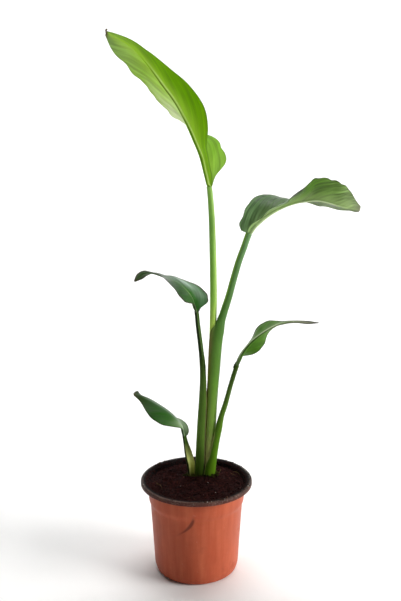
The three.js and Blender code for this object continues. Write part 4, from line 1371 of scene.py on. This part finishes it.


# Colours are red, green and blue from 0 to 255. under and upper: the colours of the near and the far half, along the
# midrib from the stalk to the tip.
# inner: colour next to the midrib, its width as a share of the half, its strength on the near and far half.
# painted_patch: colour of a patch of painted light or shade, how far out on the half it lies, its width there, its
# middle and reach along the blade, its face, its strength on the near and far half. It is painted highlight on leaves
# 1,
# 3, 4 and 5 (on leaf 4 partly its waxy coat too) and painted shade along the curled margin of leaf 2.
# rib and rib_side_shading: colour of the line along the midrib and of the one beside it, how far it lies from the
# midrib's crest towards the far half, near the stalk and further on, its width at both, its strength. The dark lines
# are painted shade and the pale ones painted highlight on the keel or in the groove, except leaf 2's pale midrib.
# rib_span: shares of the blade's length between which both lines show.
# edge: colour, width in mm and strength along the margin. tip: colour and reach at the tip.
# mottle, veins: strength of the blotches and fine veins. streaks: strength, size in mm, how far they lean to the tip.
# rough: roughness of the lower and the upper face. gloss: how strongly the surface shines.
BLADE_LOOKS = [
    {
        "under": (
            [
                (120, 172, 36), (132, 188, 30), (124, 180, 12), (106, 164, 2), (104, 160, 4), (120, 174, 20),
                (136, 184, 48), (148, 190, 84),
            ],
            # far half's underside: its own paler green, made paler still as painted light shining through the leaf
            [
                (170, 212, 84), (206, 232, 150), (222, 242, 176), (214, 236, 164), (176, 212, 104), (150, 192, 72),
                (156, 194, 92), (128, 160, 88),
            ],
        ),
        "upper": (
            [(92, 134, 42), (80, 120, 30), (74, 112, 28), (80, 116, 36)],
            [(138, 178, 74), (118, 162, 50), (96, 138, 42), (80, 122, 24), (78, 118, 26), (78, 118, 28), (84, 120, 36)],
        ),
        # the brighter green beside the midrib is partly painted light, lifting parts that lie in shade
        "inner": ((190, 236, 76), 0.32, 0.55, 0.45),
        # painted light: a pale patch on the far half's underside
        "painted_patch": ((232, 244, 200), 0.75, 0.2, 0.35, 0.25, "under", 0.0, 0.5),
        # painted shade on the keel's shaded flank (dark line) and painted highlight on its lit flank (pale line)
        "rib": ((56, 98, 8), (-3.4, -0.9), (1.8, 0.9), 0.9),
        "rib_side_shading": ((214, 243, 134), (-6.2, -2.7), (0.7, 1.1), 0.95),
        "rib_span": (-0.1, 0.68),
        "edge": ((70, 106, 24), 0.8, 0.55), "tip": ((96, 84, 60), 0.014),
        "mottle": 0.14, "veins": 0.03, "streaks": (1.6, 13.0, 1.2),
        "rough": (0.75, 0.75), "gloss": 0.06,
    },
    {
        "under": (
            [
                (116, 146, 88), (110, 141, 79), (104, 136, 70), (98, 132, 62), (94, 128, 56), (62, 96, 22),
                (58, 92, 16), (78, 110, 39), (98, 128, 62), (124, 148, 93), (150, 168, 124),
            ],
            [(104, 134, 74), (92, 120, 62), (84, 110, 54), (100, 124, 74)],
        ),
        "upper": (
            [(70, 112, 44), (72, 114, 44), (80, 120, 40), (80, 120, 40)],
            # the first, pale colour of the far half's upper face is partly painted light on the lobe, which lies in
            # shade
            [(108, 142, 92), (62, 92, 48), (60, 92, 46), (78, 110, 62), (75, 118, 50)],
        ),
        "inner": ((146, 168, 108), 0.36, 0.42, 0.2),
        # painted shade: a dark band along the near half's curled margin
        "painted_patch": ((14, 32, 4), 1.0, 0.36, 0.41, 0.055, "under", 3.0, 0.0),
        # the pale midrib, with a line of painted shade beside it
        "rib": ((196, 210, 170), (-2.4, -0.6), (3.2, 0.8), 0.65),
        "rib_side_shading": ((50, 76, 24), (-6.6, -2.6), (1.2, 0.8), 0.3),
        "rib_span": (-0.1, 0.85),
        "edge": ((42, 52, 22), 0.8, 0.75), "tip": ((128, 134, 104), 0.03),
        "mottle": 0.2, "veins": 0.2, "streaks": (3.2, 7.0, 0.6),
        "rough": (0.5, 0.4), "gloss": 0.14,
    },
    {
        "under": (
            [(60, 86, 44), (62, 88, 46), (62, 84, 44)],
            [(60, 86, 44), (62, 88, 46), (62, 84, 44)],
        ),
        "upper": (
            [(44, 84, 34), (54, 90, 44), (38, 66, 32), (34, 54, 31), (66, 84, 52)],
            [(44, 86, 42), (74, 106, 70), (58, 84, 58), (36, 54, 36), (56, 74, 44)],
        ),
        "inner": ((48, 92, 28), 0.18, 0.4, 0.6),
        # painted highlight: a grey sheen on the far half's upper face
        "painted_patch": ((168, 188, 176), 0.62, 0.2, 0.34, 0.13, "upper", 0.0, 0.55),
        # painted shade in the groove over the midrib, and a painted highlight on the groove's edge
        "rib": ((28, 84, 4), (2.6, 0.9), (3.0, 1.0), 0.95),
        "rib_side_shading": ((132, 160, 100), (-0.9, -0.9), (0.6, 0.6), 0.75),
        "rib_span": (-0.05, 0.36),
        "edge": ((66, 46, 54), 1.5, 0.9), "tip": ((70, 60, 36), 0.03),
        "mottle": 0.2, "veins": 0.08, "streaks": (1.2, 8.0, 0.6),
        "rough": (0.5, 0.36), "gloss": 0.14,
    },
    {
        "under": (
            [
                (50, 74, 26), (84, 114, 62), (100, 134, 72), (70, 112, 36), (70, 104, 40), (84, 96, 66), (84, 80, 68),
                (54, 46, 38),
            ],
            [
                (48, 76, 20), (62, 104, 16), (60, 104, 12), (68, 108, 22), (86, 106, 60), (88, 98, 70), (84, 80, 68),
                (54, 46, 38),
            ],
        ),
        "upper": (
            [(68, 112, 36), (70, 114, 38), (96, 112, 70)],
            [(68, 112, 36), (70, 114, 38), (96, 112, 70)],
        ),
        "inner": ((130, 154, 106), 0.3, 0.4, 0.0),
        # painted highlight, partly the leaf's waxy coat: a pale grey sheen near the near half's margin
        "painted_patch": ((186, 200, 176), 0.9, 0.16, 0.25, 0.15, "under", 0.6, 0.0),
        # painted shade beside the keel, and a painted highlight on the keel
        "rib": ((26, 46, 8), (0.7, 0.7), (0.7, 0.7), 0.9),
        "rib_side_shading": ((196, 208, 170), (-0.9, -0.9), (0.7, 0.7), 0.75),
        "rib_span": (0.06, 0.6),
        "edge": ((26, 44, 12), 1.3, 0.9), "tip": ((44, 38, 30), 0.07),
        "mottle": 0.2, "veins": 0.08, "streaks": (1.5, 8.0, 0.6),
        "rough": (0.5, 0.36), "gloss": 0.12,
    },
    {
        "under": (
            [(52, 80, 34), (50, 78, 34)],
            [(52, 80, 34), (50, 78, 34)],
        ),
        "upper": (
            [
                (96, 124, 76), (84, 116, 62), (52, 92, 30), (32, 78, 10), (26, 70, 6), (24, 60, 8), (28, 50, 12),
                (34, 44, 14),
            ],
            [(60, 84, 46), (62, 88, 54), (66, 84, 62), (60, 78, 56), (34, 46, 18)],
        ),
        "inner": ((84, 104, 80), 0.2, 0.45, 0.3),
        # painted highlight: a pale sheen near the blade's base
        "painted_patch": ((160, 180, 148), 0.35, 0.5, 0.14, 0.14, "upper", 0.75, 0.3),
        # painted highlight along the crest, and painted shade beside it
        "rib": ((130, 144, 130), (-1.0, -1.0), (1.2, 1.2), 0.65),
        "rib_side_shading": ((34, 34, 30), (0.8, 0.8), (0.7, 0.7), 0.6),
        "rib_span": (0.14, 0.8),
        "edge": ((30, 32, 14), 0.8, 0.8), "tip": ((60, 58, 30), 0.03),
        "mottle": 0.2, "veins": 0.05, "streaks": (0.9, 8.0, 0.8),
        "rough": (0.5, 0.36), "gloss": 0.08,
    },
]

# outside and inside: colours from the soil up. edge: colour, width and strength at the sheath's edges, and the
# share of the stalk where the sheath ends.
STALK_LOOKS = [
    {
        "outside": [
            (116, 164, 46), (120, 168, 46), (128, 178, 50), (150, 190, 60), (178, 206, 78), (124, 172, 54),
            (112, 162, 54), (106, 156, 56), (122, 168, 64),
        ],
        "inside": [(196, 226, 122), (186, 220, 110), (150, 196, 86)],
        "edge": ((190, 220, 120), 0.6, 0.4, 1.0), "gloss": 0.5,
    },
    {
        # the pale yellowish colour at the soil is partly painted light, lighter than the foot is, to make up for the
        # shade it stands in
        "outside": [(210, 208, 124), (114, 152, 38), (84, 134, 12), (62, 108, 16), (72, 120, 50), (90, 134, 78)],
        "inside": [(120, 160, 60), (110, 155, 50)],
        "edge": ((128, 98, 52), 5.0, 0.75, 0.64), "gloss": 0.4,
    },
    {
        "outside": [(60, 86, 22), (92, 126, 46), (84, 116, 44), (32, 50, 16), (24, 38, 12)],
        "inside": [(90, 120, 50), (60, 85, 40)],
        "edge": ((104, 84, 66), 0.9, 0.8, 0.6), "gloss": 0.05,
    },
    {
        "outside": [(86, 124, 24), (80, 122, 20), (80, 116, 30), (72, 100, 40), (56, 80, 26)],
        "inside": [(130, 150, 80), (110, 140, 60)],
        # the sheath's pale margin, made paler still as painted light where it lies in shade
        "edge": ((196, 200, 124), 1.3, 0.9, 0.44), "gloss": 0.05,
    },
    {
        "outside": [(44, 62, 13), (36, 54, 14), (28, 46, 11)],
        "inside": [(150, 160, 92), (206, 212, 134), (206, 214, 136), (136, 148, 82), (62, 88, 30), (46, 74, 20)],
        "edge": ((176, 170, 112), 0.8, 0.6, 0.83), "gloss": 0.08,
    },
]


# Camera, floor and light

SENSOR = 36
FLOOR_FRONT = -4.0
WALL_DISTANCE = 2.2
WALL_CURVE = 0.9
WALL_CURVE_STEPS = 24
WALL_HEIGHT = 3.0
STUDIO_WIDTH = 5.0
MIDDLE = (0, 0, 0.25)
SKY_STRENGTH = 0.04
# Name, place, spot that it points to, size, power and colour of the large lamps, in metres and watts
LAMPS = [
    ("window", (2.3, -0.7, 1.1), MIDDLE, (1.2, 1.6), 68, (1, 0.985, 0.96)),
    ("top", (0.3, 0.5, 2.4), MIDDLE, (1.8, 1.2), 13, (1, 1, 1)),
    ("wall", (0, 0.9, 2.6), (0, WALL_DISTANCE, 0.7), (3.0, 0.6), 62, (1, 1, 1)),
]
# The lamp for the upper leaves: place, spot that it points to, power, angle in degrees, softness of its edge, size
LEAF_LAMP = ((-0.9, -1.1, 1.4), (-0.03, 0, 0.56), 50, 22, 0.8, 0.2)


def add_camera():
    camera = placed("camera", bpy.data.cameras.new("camera"), Vector(EYE) * MM)
    camera.rotation_euler = (math.radians(90 - LOOK_DOWN), 0, 0)
    camera.data.lens = LENS
    camera.data.sensor_width = SENSOR
    camera.data.clip_start = 0.01
    bpy.context.scene.camera = camera


def add_studio():
    """A pale floor that curves up into the wall behind the plant."""
    curve_start = WALL_DISTANCE - WALL_CURVE
    path = [(FLOOR_FRONT, 0.0), (0.0, 0.0), (curve_start, 0.0)]
    for step in range(1, WALL_CURVE_STEPS + 1):
        a = math.pi / 2 * step / WALL_CURVE_STEPS
        path.append((curve_start + WALL_CURVE * math.sin(a), WALL_CURVE * (1 - math.cos(a))))
    path.append((WALL_DISTANCE, WALL_HEIGHT))
    points = [(x, y, z) for y, z in path for x in (-STUDIO_WIDTH, STUDIO_WIDTH)]
    faces = [(2 * k, 2 * k + 1, 2 * k + 3, 2 * k + 2) for k in range(len(path) - 1)]
    mesh = bpy.data.meshes.new("studio_floor")
    mesh.from_pydata(points, [], faces)
    mesh.polygons.foreach_set("use_smooth", [True] * len(faces))
    finish = Finish("pale paper")
    shade = finish.grain(3.0, 2.0)
    tone = finish.ramp(shade, [(0.3, (247, 247, 246)), (0.7, (251, 251, 251))])
    mesh.materials.append(finish.done(tone, finish.scaled(shade, 0.1, 0.85), 0.1))
    floor = placed("studio_floor", mesh)


def add_lights():
    world = bpy.data.worlds.new("studio")
    world.use_nodes = True
    sky = world.node_tree.nodes["Background"].inputs
    sky["Color"].default_value = (1, 1, 1, 1)
    sky["Strength"].default_value = SKY_STRENGTH
    bpy.context.scene.world = world
    bpy.context.scene.view_settings.view_transform = "Standard"
    for name, place, aim, size, power, colour in LAMPS:
        lamp = bpy.data.lights.new(name, "AREA")
        lamp.shape = "RECTANGLE"
        lamp.size, lamp.size_y = size
        lamp.energy = power
        lamp.color = colour
        placed(name, lamp, place, aim).visible_camera = False
    place, aim, power, angle, blend, size = LEAF_LAMP
    lamp = bpy.data.lights.new("leaves", "SPOT")
    lamp.energy = power
    lamp.spot_size = math.radians(angle)
    lamp.spot_blend = blend
    lamp.shadow_soft_size = size
    placed("leaves", lamp, place, aim)


# Assembly

add_camera()
add_studio()
add_lights()

finish_piece(pot_piece([pot_outside_material(), pot_inside_material()]), "pot", [], "pot")
peat = grainy_material("moist peat", (10, 4, 4), (54, 24, 23), 350.0)
finish_piece(soil_piece(), "soil", [peat], "soil")
crumb_peat = grainy_material("peat crumbs", (12, 5, 5), (54, 26, 24), 500.0)
dried_peat = grainy_material("dried peat", (16, 9, 8), (92, 66, 54), 260.0)
pale_grit = grainy_material("pale grit", (150, 145, 138), (225, 222, 215), 300.0)
peat_fibres = grainy_material("peat fibres", (34, 13, 11), (76, 36, 28), 300.0, 0.8)
white_grit = grainy_material("white grains", (170, 165, 155), (235, 232, 225), 300.0)
pale_straw = grainy_material("pale fibres", (64, 48, 30), (126, 104, 66), 300.0, 0.8)
moss = grainy_material("moss", (20, 16, 6), (58, 62, 18), 220.0)
for loose, material in (
    (crumbs_piece("soil_crumbs", 11, soil_crumbs), crumb_peat),
    (crumbs_piece("flare_peat", 61, flare_peat), crumb_peat),
    (crumbs_piece("rim_dirt", 5, rim_dirt), dried_peat),
    (crumbs_piece("rim_grains", 67, rim_grains), pale_grit),
    (soil_fibres_piece(), peat_fibres),
    (crumbs_piece("white_grains", 3, white_grains, flat=1), white_grit),
    (pale_fibres_piece(), pale_straw),
    (crumbs_piece("foot_moss", 41, foot_moss), moss),
):
    finish_piece(loose, "soil", [material])
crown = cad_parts["crown"].data.materials
crown.clear()
crown.append(crown_material())

for number, (blade_look, stalk_look) in enumerate(zip(BLADE_LOOKS, STALK_LOOKS)):
    title = f"leaf_{number + 1}"
    stalk_finish = stalk_material(f"{title} stalk", stalk_look)
    finish_piece(stalk_piece(number), f"stalk_{number + 1}", [stalk_finish], f"{title}_stalk")
    blade_finish = blade_material(f"{title} blade", blade_look)
    finish_piece(blade_piece(number), f"blade_{number + 1}", [blade_finish], f"{title}_blade")

joint_skin = grainy_material("joint skin", (34, 50, 14), (58, 78, 30), 300.0, 0.5)
finish_piece(tube_piece("leaf_4_joint_bump", JOINT_BUMP, thick=1.5, sides=10), "stalk_4", [joint_skin])
dried_tip = grainy_material("dried tip", (60, 48, 34), (104, 88, 62), 700.0, 0.7)
finish_piece(tube_piece("leaf_1_tip_hook", TIP_HOOK, thick=1.1, sides=8), "blade_1", [dried_tip])
